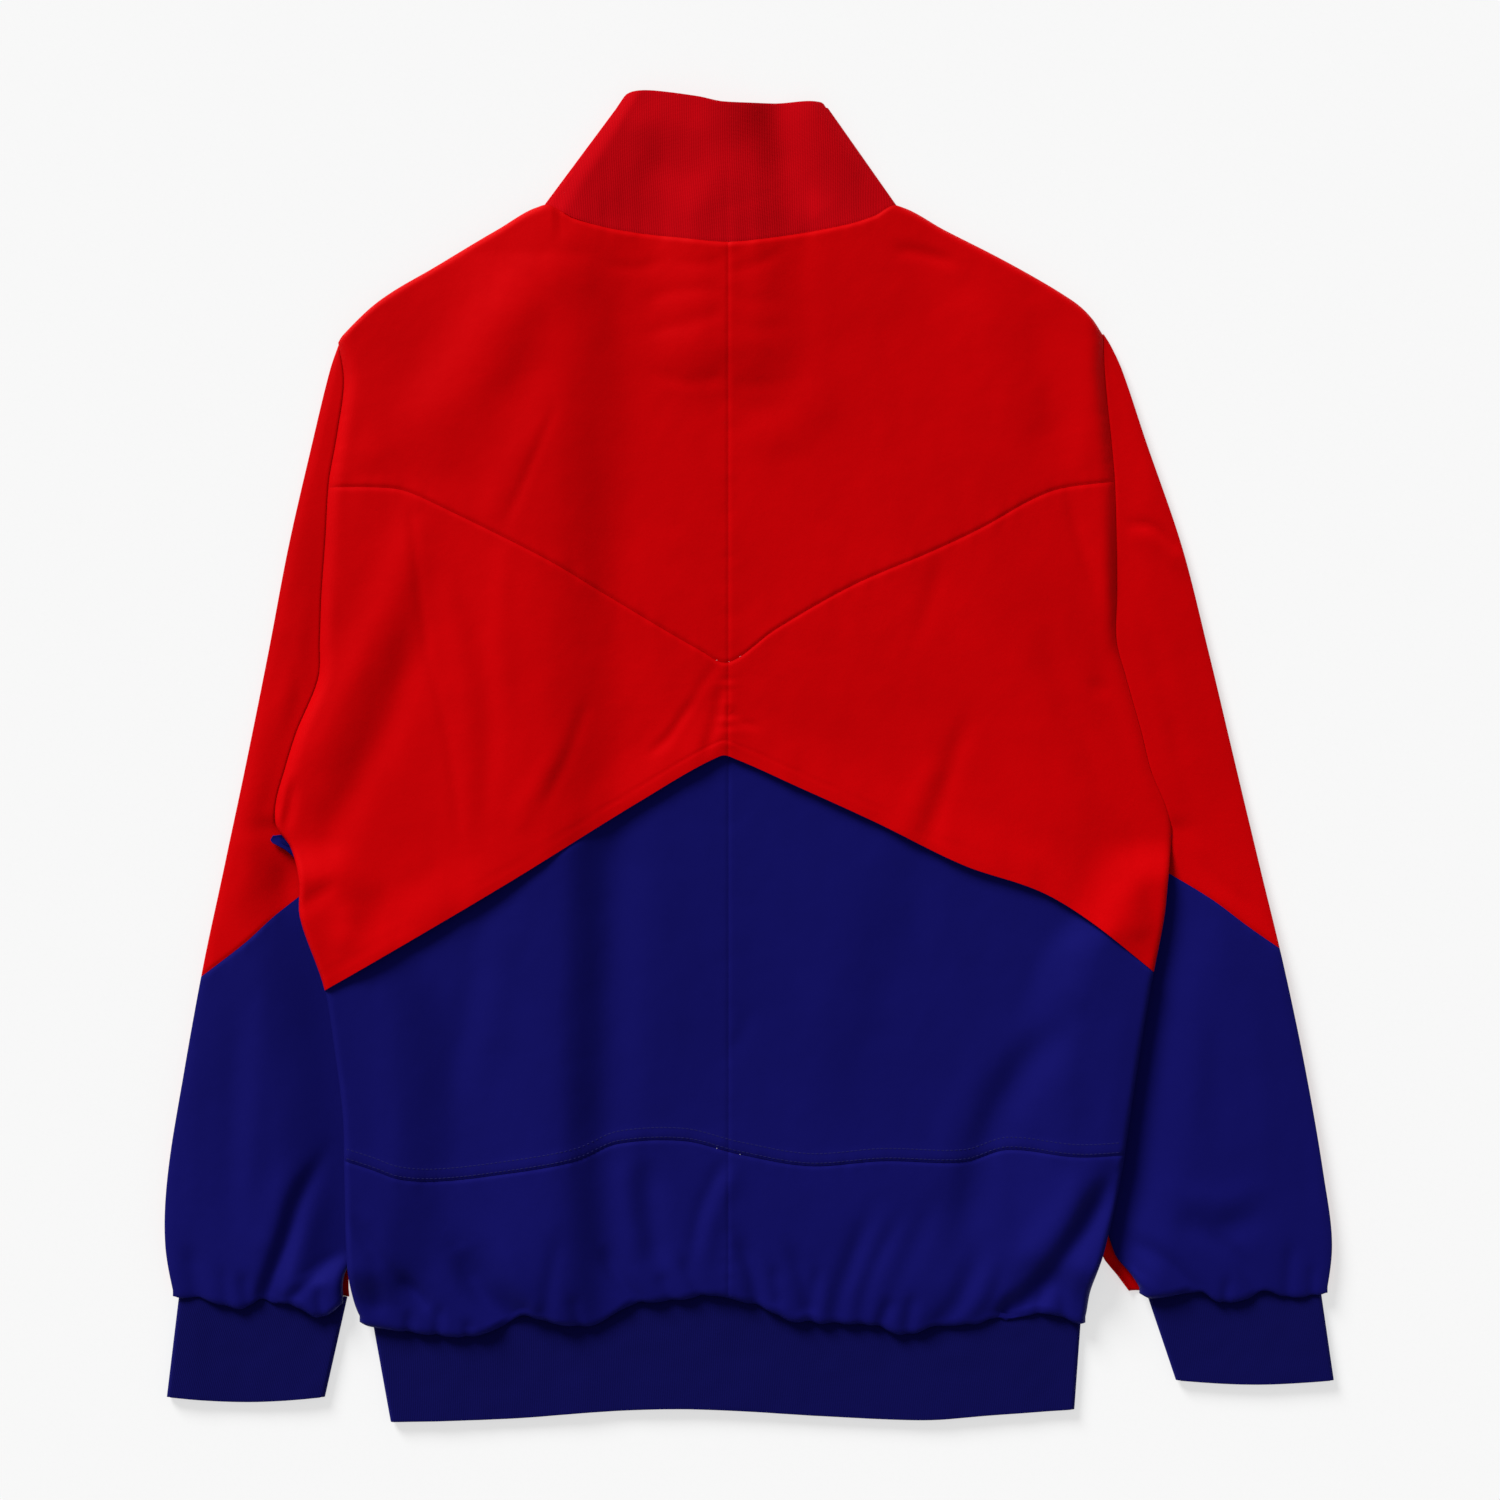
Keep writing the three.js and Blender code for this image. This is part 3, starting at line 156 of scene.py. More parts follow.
# x, y: V seam between yoke and cape
YOKE_SEAM = (
    (-256, 162), (-220, 161.6), (-206, 159.4), (-183.6, 149.4), (-121.2, 118.2), (-87, 97.8),
    (-30, 64.2), (-13, 57), (15.6, 76.8), (61.8, 103.2), (108, 123), (139.8, 138), (167.4, 153.6),
    (186, 161), (221, 165.6),
)
# x, y: loose chevron edge of the cape
CAPE_EDGE = (
    (-262, -144), (-216, -117.6), (-141, -73.2), (-66.6, -27), (-18, 0.5), (-8, -1.5),
    (27.6, -17.4), (75, -39), (127.8, -64.8), (173.4, -80.4), (202.8, -97.8), (246, -132),
)
# x, y: seam above the gathered lower back
LOWER_SEAM = (
    (-246, -240.5), (-226, -247), (-210, -252.6), (-187.8, -254.4), (-154, -250.8),
    (-103.8, -241.8), (-79, -232.2), (-39.6, -230.4), (-7, -238.2), (35.4, -245.4), (79.8, -242.4),
    (129, -243), (154.8, -235.8), (196.2, -239.4), (226, -238),
)
# x, y: scalloped edge of the bloused back over the hem band
BLOUSE_EDGE = (
    (-240, -338), (-226, -342), (-184.8, -347.4), (-165, -347.4), (-135.6, -338.4), (-96, -341.4),
    (-73.2, -330), (-42.6, -325.8), (-19.2, -323.4), (7.8, -331.2), (26.4, -339), (73.8, -341.4),
    (92, -347), (113.4, -342), (144, -340.2), (177.6, -334.2), (198.6, -340.2), (212, -338),
)
# x, y: lower edge of the hem band
HEM_EDGE = (
    (-216, -399.6), (-185, -399), (-138.6, -397.2), (-93, -393.6), (-46.8, -391.8), (-6, -393),
    (43.2, -396), (105, -398.4), (144, -395.6), (195, -392),
)
# x, y: top edge of the collar
COLLAR_TOP = (
    (-78.6, 392.4), (-74, 398), (-65.4, 399.8), (-53.4, 399.2), (-31.2, 396), (-16, 392.8),
    (13.8, 392.8), (42, 393.2), (47, 390),
)
# x, y: seam between a sleeve's red head and its blue lower part
SLEEVE_SEAM = {
    "left": ((-335, -136), (-303, -111.6), (-285.6, -95.4), (-266, -80)),
    "right": ((247, -67), (277.8, -85.8), (299.4, -102), (324, -119)),
}
# x, y: scalloped edge of a sleeve over its cuff
SLEEVE_BOTTOM = {
    "left": (
        (-346, -324.5), (-330, -325.8), (-305, -331.5), (-294, -328.2), (-271, -330.6),
        (-258, -336.6), (-243, -328), (-236, -328),
    ),
    "right": (
        (228, -320), (240, -324.6), (268, -321.6), (282.6, -327.6), (301, -324.6),
        (310, -320.6), (322, -324.6), (346, -322.4),
    ),
}
# y, height of the back's outer face over the lower one
LOFT = (
    (400, 6), (300, 6.4), (160, 6.6), (20, 6.8), (-120, 7.4), (-230, 8.6), (-290, 11), (-318, 12.6),
    (-350, 12),
)
# x of a rib's left and right corners, on its seam and on its free edge
HEM_CORNERS = {"seam": (-227.0, 199.0), "edge": (-216.0, 195.0)}
COLLAR_CORNERS = {"seam": (-124.2, 88.4), "edge": (-78.6, 47.0)}
CUFFS = {
    "left": {"seam": (-343.0, -242.0), "edge": (-350.6, -255.5), "edge_y": -384.5, "bow": -3.0},
    "right": {"seam": (238.0, 343.0), "edge": (256.0, 351.0), "edge_y": -374.5, "bow": -2.5},
}
slider_low, slider_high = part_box("zip_slider")
slider_middle = (slider_low + slider_high) / 2
SHIFT = (slider_middle.x / MM - CENTRE, slider_middle.y / MM - ZIP_Y, 0.0)

# Folds: name, points along it, width, height (a ridge above 0, a hollow below), skew, and the
# shares of its length over which it fades in and out
YOKE_FOLDS = (
    ("left shoulder ridge", ((-131, 285), (-164, 235), (-208, 173)), 24, 4.0, 0.1, 0.25, 0.35),
    ("left shoulder hollow", ((-114, 277), (-133, 233), (-150, 193)), 15, -1.5, 0, 0.25, 0.35),
    ("left shoulder crease", ((-116, 212), (-131, 176), (-147, 140)), 2.6, -0.7, 0.2, 0.3, 0.2),
    ("beside the crease", ((-130, 200), (-145, 167), (-161, 139)), 9, 0.6, 0, 0.3, 0.2),
    ("long step", ((-116, 302), (-117, 190), (-124, 60), (-130, -78)), 41, 7.0, -0.28, 0.06, 0),
    ("long hollow", ((-76, 297), (-76, 196), (-80, 60), (-84, -78)), 18, -1.2, 0, 0.15, 0),
    ("neck crease", ((-90, 297), (-70, 293), (-49, 299)), 3.4, -0.55, 0, 0.3, 0.3),
    ("neck crease", ((-47, 298), (-31, 295), (-16, 297)), 3.4, -0.5, 0, 0.3, 0.1),
    ("neck crease", ((-8, 292), (5, 296), (20, 303)), 3.4, -0.55, 0, 0.1, 0.3),
    ("neck crease", ((-62, 274), (-44, 279), (-22, 280)), 4, -0.5, 0.2, 0.3, 0.1),
    ("neck crease", ((-9, 276), (7, 273), (24, 275)), 4, -0.25, 0, 0.1, 0.4),
    ("neck crease", ((-66, 253), (-36, 260), (-18, 265)), 4, -0.5, 0.2, 0.3, 0.1),
    ("neck crease", ((-8, 259), (8, 256), (27, 260)), 4, -0.25, 0, 0.1, 0.4),
    ("back swell", ((-79, 241), (-49, 245), (-17, 242)), 10, 0.4, 0, 0.3, 0.2),
    ("back crease", ((-61, 231), (-38, 224), (-16, 227)), 4, -0.6, 0.3, 0.3, 0.1),
    ("back crease", ((-8, 224), (7, 223), (24, 226)), 4, -0.3, 0, 0.1, 0.4),
    ("back swell", ((-5, 183), (26, 200), (49, 224)), 14, 1.0, 0, 0.3, 0.3),
    ("right neck crease", ((86, 305), (104, 302), (124, 296)), 4, -1.1, 0, 0.3, 0.3),
    ("right shoulder hollow", ((85, 279), (101, 226), (119, 177)), 18, -1.3, 0, 0.3, 0.3),
    ("right shoulder ridge", ((128, 283), (154, 238), (174, 191)), 16, 1.8, 0, 0.3, 0.3),
    ("right shoulder hollow", ((170, 272), (180, 220), (186, 172)), 13, -1.3, 0, 0.3, 0.3),
    ("left cap swell", ((-239, 231), (-224, 196), (-227, 170)), 13, 1.2, 0, 0.3, 0.3),
    ("right cap swell", ((200, 253), (205, 214), (206, 172)), 10, 1.2, 0, 0.3, 0.3),
)
CAPE_FOLDS = (
    ("left blade ridge", ((-196, 146), (-218, 85), (-244, 34), (-263, -11)),
     14, 2.6, 0.1, 0.15, 0.2),
    ("left blade hollow", ((-200, 74), (-216, 24), (-238, -19), (-256, -57)),
     12, -2.2, 0, 0.2, 0.2),
    ("left blade crease", ((-203, 146), (-198, 99), (-192, 53)), 3, -0.7, 0, 0.1, 0.2),
    ("left blade crease below", ((-191, 53), (-181, 10), (-173, -51)), 3, -0.7, 0, 0.1, 0.2),
    ("beside the crease", ((-185, 121), (-172, 40), (-163, -49)), 8, 0.9, 0, 0.2, 0.2),
    ("middle crease", ((-168, 87), (-156, 32), (-160, -43)), 7, -0.9, 0, 0.3, 0.2),
    ("middle ridge", ((-146, 130), (-150, 70), (-143, 22)), 7, 0.8, 0, 0.2, 0.4),
    ("lower crease", ((-97, 34), (-108, 3), (-122, -27)), 4, -0.8, 0, 0.3, 0.2),
    ("lower ridge", ((-106, 16), (-130, -23), (-140, -45)), 8, 0.9, 0, 0.3, 0.2),
    ("apex crease", ((-20, 56), (-35, 33), (-52, 5)), 3, -0.9, 0, 0.2, 0.2),
    ("apex crease", ((-29, 39), (-44, 20), (-58, 3)), 3, -0.8, 0, 0.3, 0.1),
    ("apex crease", ((-17, 44), (-20, 25), (-26, 4)), 3, -1, 0, 0.3, 0.1),
    ("apex swell", ((-25, 46), (-40, 25), (-53, 10)), 4, 0.9, 0, 0.3, 0.3),
    ("apex pucker", ((-12, 27), (-5, 21), (6, 17)), 3, -0.8, 0, 0.1, 0.4),
    ("left edge crease", ((-274, -13), (-276, -29), (-279, -43)), 3, -1.8, 0, 0.3, 0.2),
    ("left edge pocket", ((-247, -74), (-257, -82), (-268, -89)), 5, -1.4, 0, 0.3, 0),
    ("left corner swell", ((-239, -87), (-240, -101), (-246, -117)), 8, 1.6, 0, 0.3, 0.3),
    ("right middle crease", ((116, 121), (108, 94), (98, 64)), 6, -0.7, 0, 0.3, 0.3),
    ("right lower crease", ((131, 27), (119, -11), (108, -44)), 6, -1.1, 0, 0.3, 0.1),
    ("right lower swell", ((114, 4), (101, -26), (92, -50)), 8, 0.9, 0, 0.3, 0.1),
    ("right blade hollow", ((174, 80), (194, 25), (223, -25)), 11, -1.7, 0, 0.3, 0.2),
    ("right blade ridge", ((210, 147), (223, 70), (240, 13), (252, -33)), 11, 2.4, 0, 0.2, 0.2),
    ("right blade dimple", ((204, 44), (210, 41), (216, 40)), 4, -1, 0, 0.3, 0.3),
    ("right side crease", ((191, 155), (200, 123), (215, 82)), 4, -1, 0, 0.2, 0.3),
    ("right side fall", ((232, 120), (246, 0), (262, -140)), 44, -4.6, 0, 0.4, 0),
    ("right corner swell", ((221, -74), (229, -93), (234, -110)), 9, 1.6, 0, 0.3, 0.3),
)
BODY_FOLDS = (
    ("left body hollow", ((-164, -104), (-169, -149), (-178, -203)), 9, -1.0, 0, 0.1, 0.4),
    ("left body ridge", ((-145, -100), (-152, -152), (-163, -199)), 10, 1.0, 0, 0.1, 0.4),
    ("long step", ((-112, -40), (-114, -152), (-114, -232), (-106, -347)), 36, 8.0, -0.45, 0, 0.2),
    ("long hollow", ((-84, -50), (-85, -152), (-87, -242), (-91, -344)), 15, -3.2, 0, 0.05, 0),
    ("right of the hollow", ((-58, -62), (-56, -146), (-62, -224)), 18, 0.5, 0, 0.1, 0.4),
    ("right long ridge", ((80, -50), (55, -134), (41, -227)), 20, 1.2, 0, 0.1, 0.4),
    ("right long hollow", ((104, -63), (83, -134), (67, -227)), 18, -1.1, 0, 0.1, 0.4),
    ("right great ridge", ((179, -151), (144, -191), (124, -226), (119, -266)),
     14, 1.3, 0, 0.25, 0.3),
    ("right great hollow", ((191, -158), (164, -188), (146, -217), (135, -256), (125, -303)),
     13, -3.2, 0.1, 0.2, 0.2),
    ("beyond the hollow", ((193, -172), (168, -203), (157, -236)), 13, 1.0, 0, 0.3, 0.3),
    ("left side crease", ((-239, -152), (-227, -200), (-222, -248)), 11, -1, 0, 0.3, 0.3),
    ("small crease", ((1, -149), (-4, -164), (-12, -179)), 5, -0.6, 0, 0.3, 0.3),
    ("right side crease", ((227, -146), (217, -200), (215, -242)), 10, 0.9, 0, 0.3, 0.3),
)
GATHERS = (
    ("left corner fold", ((-240, -274), (-220, -302), (-199, -323)), 5, -2.4, 0.1, 0.3, 0.1),
    ("left pocket", ((-211, -311), (-202, -321), (-193, -331)), 5, -2.2, 0, 0.3, 0.1),
    ("left deep pocket", ((-175, -296), (-163, -319), (-149, -332), (-136, -340)),
     10, -6.6, 0.2, 0.25, 0.1),
    ("gather", ((-203, -331), (-205, -346)), 3, -1.9, 0, 0.4, 0),
    ("gather", ((-185, -328), (-188, -346)), 3, -1.9, 0, 0.4, 0),
    ("gather", ((-168, -337), (-170, -347)), 3, -1.4, 0, 0.4, 0),
    ("gather", ((-114, -285), (-121, -322), (-123, -344)), 5, -1.6, 0, 0.4, 0),
    ("gather", ((-106, -321), (-103, -341)), 4, -1.6, 0, 0.4, 0),
    ("gather", ((-90, -292), (-78, -314), (-66, -328)), 5, -2.8, 0.1, 0.3, 0),
    ("hollow", ((-61, -241), (-59, -279), (-54, -310)), 8, -3.0, 0, 0.2, 0.3),
    ("ridge", ((-77, -243), (-73, -275), (-66, -303)), 7, 1.5, 0, 0.2, 0.3),
    ("gather", ((-54, -308), (-47, -326)), 4, -1.6, 0, 0.4, 0),
    ("gather", ((-41, -299), (-34, -314), (-29, -325)), 4, -2, 0, 0.3, 0),
    ("crease", ((-16, -242), (-30, -273), (-36, -307)), 4, -1, 0, 0.2, 0.3),
    ("ridge", ((-7, -245), (-22, -278), (-28, -308)), 6, 1.3, 0, 0.2, 0.3),
    ("gather", ((-7, -285), (1, -309), (4, -326)), 5, -3, 0, 0.3, 0),
    ("gather", ((14, -303), (17, -325)), 4, -1.4, 0, 0.4, 0),
    ("gather", ((24, -293), (32, -314), (34, -329)), 5, -2.2, 0, 0.3, 0),
    ("gather", ((41, -303), (37, -335)), 4, -1.6, 0, 0.4, 0),
    ("long gather", ((74, -268), (61, -302), (53, -325), (50, -343)), 6, -2.2, 0, 0.3, 0),
    ("long gather", ((92, -272), (79, -296), (69, -321), (66, -341)), 5, -1.4, 0, 0.3, 0),
    ("gather", ((85, -323), (77, -344)), 4, -2.2, 0, 0.4, 0),
    ("long gather", ((112, -262), (97, -296), (86, -323)), 7, -1.0, 0, 0.3, 0.1),
    ("gather", ((98, -320), (94, -344)), 4, -1.8, 0, 0.4, 0),
    ("long gather", ((140, -292), (126, -325), (109, -345)), 7, -2.3, 0, 0.3, 0),
    ("gather", ((152, -303), (145, -326), (130, -343)), 5, -1.6, 0, 0.4, 0),
    ("gather", ((157, -321), (150, -339)), 4, -1.4, 0, 0.4, 0),
    ("right sweep", ((217, -251), (198, -284), (175, -317), (145, -340)), 8, -5.4, 0.15, 0.2, 0.1),
    ("above the sweep", ((205, -242), (184, -281), (156, -311)), 10, 2.8, 0, 0.3, 0.3),
    ("gather", ((188, -308), (188, -339)), 4, -1.5, 0, 0.4, 0),
    ("gather", ((175, -320), (172, -338)), 3, -1.2, 0, 0.4, 0),
    ("left edge gather", ((-226, -296), (-223, -329)), 5, -1.4, 0, 0.4, 0),
    ("gather", ((-150, -284), (-138, -315), (-126, -333)), 7, 1.4, 0, 0.3, 0.2),
)
SLEEVE_FOLDS = (
    ("left elbow fold", ((-248, -230), (-269, -261), (-278, -287), (-286, -309), (-293, -328)),
     6, -5.6, 0.2, 0.2, 0),
    ("inside the elbow", ((-239, -248), (-259, -275), (-269, -301), (-275, -320)),
     8, 1.6, 0, 0.3, 0.2),
    ("outside the elbow", ((-266, -236), (-284, -268), (-295, -301)), 9, 1.2, 0, 0.3, 0.2),
    ("left cuff fold", ((-241, -295), (-260, -310), (-277, -326)), 4, -2.6, 0, 0.3, 0),
    ("left cuff pocket", ((-336, -290), (-334, -309), (-331, -327)), 6, -2.8, 0, 0.4, 0),
    ("left cuff gather", ((-316, -303), (-314, -328)), 4, -1.2, 0, 0.4, 0),
    ("left cuff gather", ((-304, -308), (-301, -329)), 4, -1.9, 0, 0.4, 0),
    ("left cuff gather", ((-284, -319), (-282, -331)), 3, -1.6, 0, 0.4, 0),
    ("left cuff gather", ((-259, -317), (-257, -333)), 3, -1.6, 0, 0.4, 0),
    ("left long hollow", ((-308, -146), (-311, -218), (-313, -296)), 8, -1.2, 0, 0.3, 0.3),
    ("left long ridge", ((-293, -134), (-296, -212), (-302, -284)), 8, 1.2, 0, 0.3, 0.3),
    ("left outer ridge", ((-332, -170), (-335, -230), (-336, -278)), 7, 0.8, 0, 0.3, 0.3),
    ("left upper ridge", ((-257, 118), (-271, 58), (-282, 10)), 7, 1, 0, 0.3, 0.3),
    ("left elbow swell", ((-289, -8), (-298, -47), (-302, -86)), 8, 1.6, 0, 0.3, 0.3),
    ("left upper crease", ((-276, 70), (-270, 34), (-275, -2)), 4, -0.8, 0, 0.3, 0.3),
    ("right cuff fold", ((228, -289), (250, -303), (272, -325)), 5, -2.8, 0.1, 0.2, 0),
    ("right cuff hollow", ((253, -275), (278, -284), (310, -275)), 9, -2.4, 0, 0.3, 0.3),
    ("right cuff swell", ((258, -260), (280, -266), (307, -260)), 8, 1.2, 0, 0.3, 0.3),
    ("right cuff fold", ((274, -285), (293, -302), (305, -322)), 5, -2.4, 0, 0.3, 0),
    ("right cuff gather", ((287, -311), (284, -328)), 3, -1.5, 0, 0.4, 0),
    ("right cuff gather", ((325, -290), (322, -322)), 4, -1.6, 0, 0.4, 0),
    ("right cuff gather", ((338, -303), (337, -325)), 3, -1.4, 0, 0.4, 0),
    ("right elbow crease", ((227, 140), (242, 138), (257, 125)), 3, -1.4, 0, 0.1, 0.1),
    ("below the crease", ((227, 133), (242, 130), (258, 117)), 6, 1, 0, 0.1, 0.1),
    ("right upper ridge", ((228, 231), (238, 190), (246, 151)), 7, 1, 0, 0.3, 0.3),
    ("right upper hollow", ((230, 106), (250, 34), (264, -26)), 7, -1, 0, 0.3, 0.3),
    ("right seam crease", ((260, -53), (283, -76), (307, -95)), 4, -0.9, 0, 0.2, 0.3),
    ("right long hollow", ((274, -122), (278, -182), (280, -236)), 10, -1.1, 0, 0.3, 0.3),
    ("right long ridge", ((300, -134), (307, -194), (310, -248)), 9, 1.2, 0, 0.3, 0.3),
    ("right outer hollow", ((328, -170), (334, -224), (335, -278)), 7, -0.8, 0, 0.3, 0.3),
)
COLLAR_FOLDS = (
    ("collar hollow", ((16, 412), (17, 378), (25, 350), (42, 326)), 14, -7.0, 0, 0, 0.5),
    ("collar left ridge", ((-22, 412), (-22, 367), (-10, 330)), 20, 2.6, 0, 0, 0.3),
    ("collar right ridge", ((52, 400), (58, 376), (74, 349)), 16, 1.2, 0, 0, 0.3),
    ("collar left hollow", ((-66, 361), (-44, 349), (-20, 353)), 11, -1, 0, 0.3, 0.3),
    ("collar left swell", ((-74, 377), (-55, 379), (-36, 377)), 11, 1, 0, 0.3, 0.3),
)
FRONT_FOLDS = (
    ("left chest", ((-230, 110), (-170, 60), (-120, 20)), 9, 1.1, 0, 0.3, 0.3),
    ("left chest below", ((-200, 20), (-150, -20), (-90, -50)), 8, 0.9, 0, 0.3, 0.3),
    ("left waist", ((-210, -120), (-150, -160), (-60, -180)), 10, 1.2, 0, 0.3, 0.3),
    ("left hem gather", ((-180, -270), (-172, -310), (-168, -338)), 7, 1.3, 0, 0.4, 0),
    ("left hem gather", ((-130, -290), (-126, -338)), 6, 1.2, 0, 0.4, 0),
    ("left hem gather", ((-84, -276), (-90, -338)), 7, 1.3, 0, 0.4, 0),
    ("left hem gather", ((-50, -300), (-52, -338)), 6, 1.0, 0, 0.4, 0),
    ("right chest", ((200, 120), (150, 70), (60, 40)), 9, 1.1, 0, 0.3, 0.3),
    ("right chest below", ((180, 10), (110, -30), (40, -40)), 8, 0.9, 0, 0.3, 0.3),
    ("right waist", ((190, -110), (120, -150), (40, -190)), 10, 1.2, 0, 0.3, 0.3),
    ("right hem gather", ((160, -270), (150, -310), (146, -338)), 7, 1.3, 0, 0.4, 0),
    ("right hem gather", ((104, -290), (100, -338)), 6, 1.2, 0, 0.4, 0),
    ("right hem gather", ((60, -276), (66, -338)), 7, 1.3, 0, 0.4, 0),
    ("right hem gather", ((22, -300), (24, -338)), 6, 1.0, 0, 0.4, 0),
)


# Plan curves and heights


def curve(rows, column=1):
    """A smooth line through a table's rows, from its first column to another."""
    rows = sorted(tuple(row) for row in rows)
    at = np.array([row[0] for row in rows], float)
    out = np.array([row[column] for row in rows], float)
    slope = np.empty(len(at))
    slope[1:-1] = (out[2:] - out[:-2]) / (at[2:] - at[:-2])
    slope[0] = (out[1] - out[0]) / (at[1] - at[0])
    slope[-1] = (out[-1] - out[-2]) / (at[-1] - at[-2])

    def value(where):
        where = np.clip(where, at[0], at[-1])
        i = np.clip(np.searchsorted(at, where, side="right") - 1, 0, len(at) - 2)
        span = at[i + 1] - at[i]
        t = (where - at[i]) / span
        return (
            out[i] * (1 + t * t * (2 * t - 3))
            + out[i + 1] * t * t * (3 - 2 * t)
            + slope[i] * span * t * (t - 1) ** 2
            + slope[i + 1] * span * t * t * (t - 1)
        )

    return value


def smooth(value, low, high):
    t = np.clip((value - low) / (high - low), 0, 1)
    return t * t * (3 - 2 * t)


def blend(a, b, t):
    return a + (b - a) * t


def bell(away, width):
    return np.exp(-((away / width) ** 2))


def quarter(t):
    """A quarter of a circle: steep at first, then level."""
    return np.sqrt(1 - (1 - np.clip(t, 0, 1)) ** 2)


def ease_out(t):
    return 1 - (1 - np.clip(t, 0, 1)) ** 2


body_edge = {side: curve(BODY_EDGE, COLUMN[side]) for side in SIDES}
sleeve_outer = {side: curve(SLEEVE_OUTER, COLUMN[side]) for side in SIDES}
sleeve_inner_below = {side: curve(SLEEVE_INNER, COLUMN[side]) for side in SIDES}
sleeve_peek = {side: curve(SLEEVE_PEEK, COLUMN[side]) for side in SIDES}
sleeve_seam = {side: curve(SLEEVE_SEAM[side]) for side in SIDES}
sleeve_bottom = {side: curve(SLEEVE_BOTTOM[side]) for side in SIDES}
yoke_top = curve(YOKE_TOP)
yoke_seam = curve(YOKE_SEAM)
cape_edge = curve(CAPE_EDGE)
lower_seam = curve(LOWER_SEAM)
blouse_edge = curve(BLOUSE_EDGE)
hem_edge = curve(HEM_EDGE)
collar_top = curve(COLLAR_TOP)
loft_at = curve(LOFT)


def band_seam(x):
    return blouse_edge(x) + RIB_UNDERLAP


def band_front_seam(x):
    """The hem band's seam on the fronts, straight from corner to corner."""
    left, right = HEM_CORNERS["seam"]
    return blend(band_seam(left), band_seam(right), (x - left) / (right - left))


def sleeve_inner(side, y):
    """Inner edge of a sleeve: beside the armhole seam, and below the underarm under the body."""
    above = body_edge[side](y) + OUT[side] * SEAM
    return np.where(y > UNDERARM_Y, above, sleeve_inner_below[side](y))


def front_neck_drop(x):
    """How far down its round curve the front neck seam is, from 0 at a shoulder to 1 at the zip."""
    corner = np.where(x < CENTRE, NECK_POINT["left"], NECK_POINT["right"])
    t = np.clip((x - corner) / (CENTRE - corner), 0, 1)
    return np.sin(t * math.pi / 2) ** 1.2


def front_top(x):
    """Top edge of the fronts: the shoulders, and the neck seam, which is lower than the back's."""
    on_neck = (x >= NECK_POINT["left"]) & (x <= NECK_POINT["right"])
    neck = NECK_POINT_Y - (BACK_NECK_DROP + FRONT_NECK_DROP) * front_neck_drop(x)
    return np.where(on_neck, neck, yoke_top(x))


def lower_face(x, y):
    """Height of the jacket's lower face: it climbs onto the sleeves, and over the zip slider."""
    onto_sleeve = np.zeros_like(x)
    for side in SIDES:
        over = OUT[side] * (x - sleeve_inner(side, y))
        on_side = (x < CENTRE) if side == "left" else (x >= CENTRE)
        onto_sleeve = np.where(on_side, smooth(over, -52, -12), onto_sleeve)
    below_underarm = 1 - smooth(y, UNDERARM_Y - 34, UNDERARM_Y - 6)
    onto_sleeve = BODY_OVER_SLEEVE * onto_sleeve * below_underarm * smooth(y, -330, -305)
    across_zip = 1 - smooth(np.abs(x - CENTRE), 13, 48)
    along_pull = 1 - smooth(np.abs(y - ZIP_Y + 8), 36, 84)
    return np.maximum(onto_sleeve, ZIP_LIFT * across_zip * along_pull)


def fold_line(points, count=14):
    """Points along a fold, round through its middle ones."""
    points = np.array(points, float)
    if len(points) == 2:
        return points[0] + (points[1] - points[0]) * np.linspace(0, 1, 5)[:, None]
    way = np.arange(len(points))
    t = np.linspace(0, len(points) - 1, count)
    return np.stack([curve(np.column_stack([way, points[:, k]]))(t) for k in (0, 1)], 1)


def folds(table, x, y):
    """Sum of a table's folds: soft ridges and hollows that fade out at their ends."""
    total = np.zeros_like(x)
    for _, points, width, height, skew, fade_in, fade_out in table:
        line = fold_line(points)
        reach = width * 3  # beyond which the bell curve is nil
        near = (x > line[:, 0].min() - reach) & (x < line[:, 0].max() + reach)
        near &= (y > line[:, 1].min() - reach) & (y < line[:, 1].max() + reach)
        px, py = x[near][:, None], y[near][:, None]
        if not px.size:
            continue
        ax, ay = line[:-1, 0], line[:-1, 1]
        dx, dy = np.diff(line[:, 0]), np.diff(line[:, 1])
        t = np.clip(((px - ax) * dx + (py - ay) * dy) / (dx * dx + dy * dy), 0, 1)
        away = np.hypot(px - ax - t * dx, py - ay - t * dy)
        best = away.argmin(1)
        row = np.arange(len(best))
        turn = dx[best] * (py[:, 0] - ay[best]) - dy[best] * (px[:, 0] - ax[best])
        along = (best + t[row, best]) / len(dx)
        side_width = width * (1 + skew * np.sign(turn))
        shape = bell(away[row, best], side_width)
        if fade_in:
            shape *= smooth(along, -0.12, fade_in)
        if fade_out:
            shape *= smooth(1 - along, -0.12, fade_out)
        total[near] += height * shape
    return total


def ripple(x, y, size, seed):
    """Smooth even noise between -1 and 1, with hills about size apart, the same on each run."""
    lattice = np.random.RandomState(seed).uniform(-1, 1, (256, 256))
    u, v = x / size + 90.0, y / size + 90.0
    i, j = np.floor(u).astype(int), np.floor(v).astype(int)
    s, t = smooth(u - i, 0, 1), smooth(v - j, 0, 1)
    i, j = i % 255, j % 255
    low = blend(lattice[i, j], lattice[i + 1, j], s)
    high = blend(lattice[i, j + 1], lattice[i + 1, j + 1], s)
    return blend(low, high, t)


def crinkle(x, y):
    """The shallow unevenness of thin cloth over its own lining."""
    drawn = ripple(x + 0.3 * y, y * 0.45, 21, 3) * 0.42 + ripple(x, y * 0.7, 9, 5) * 0.13
    return drawn + ripple(x, y, 4.4, 8) * 0.04


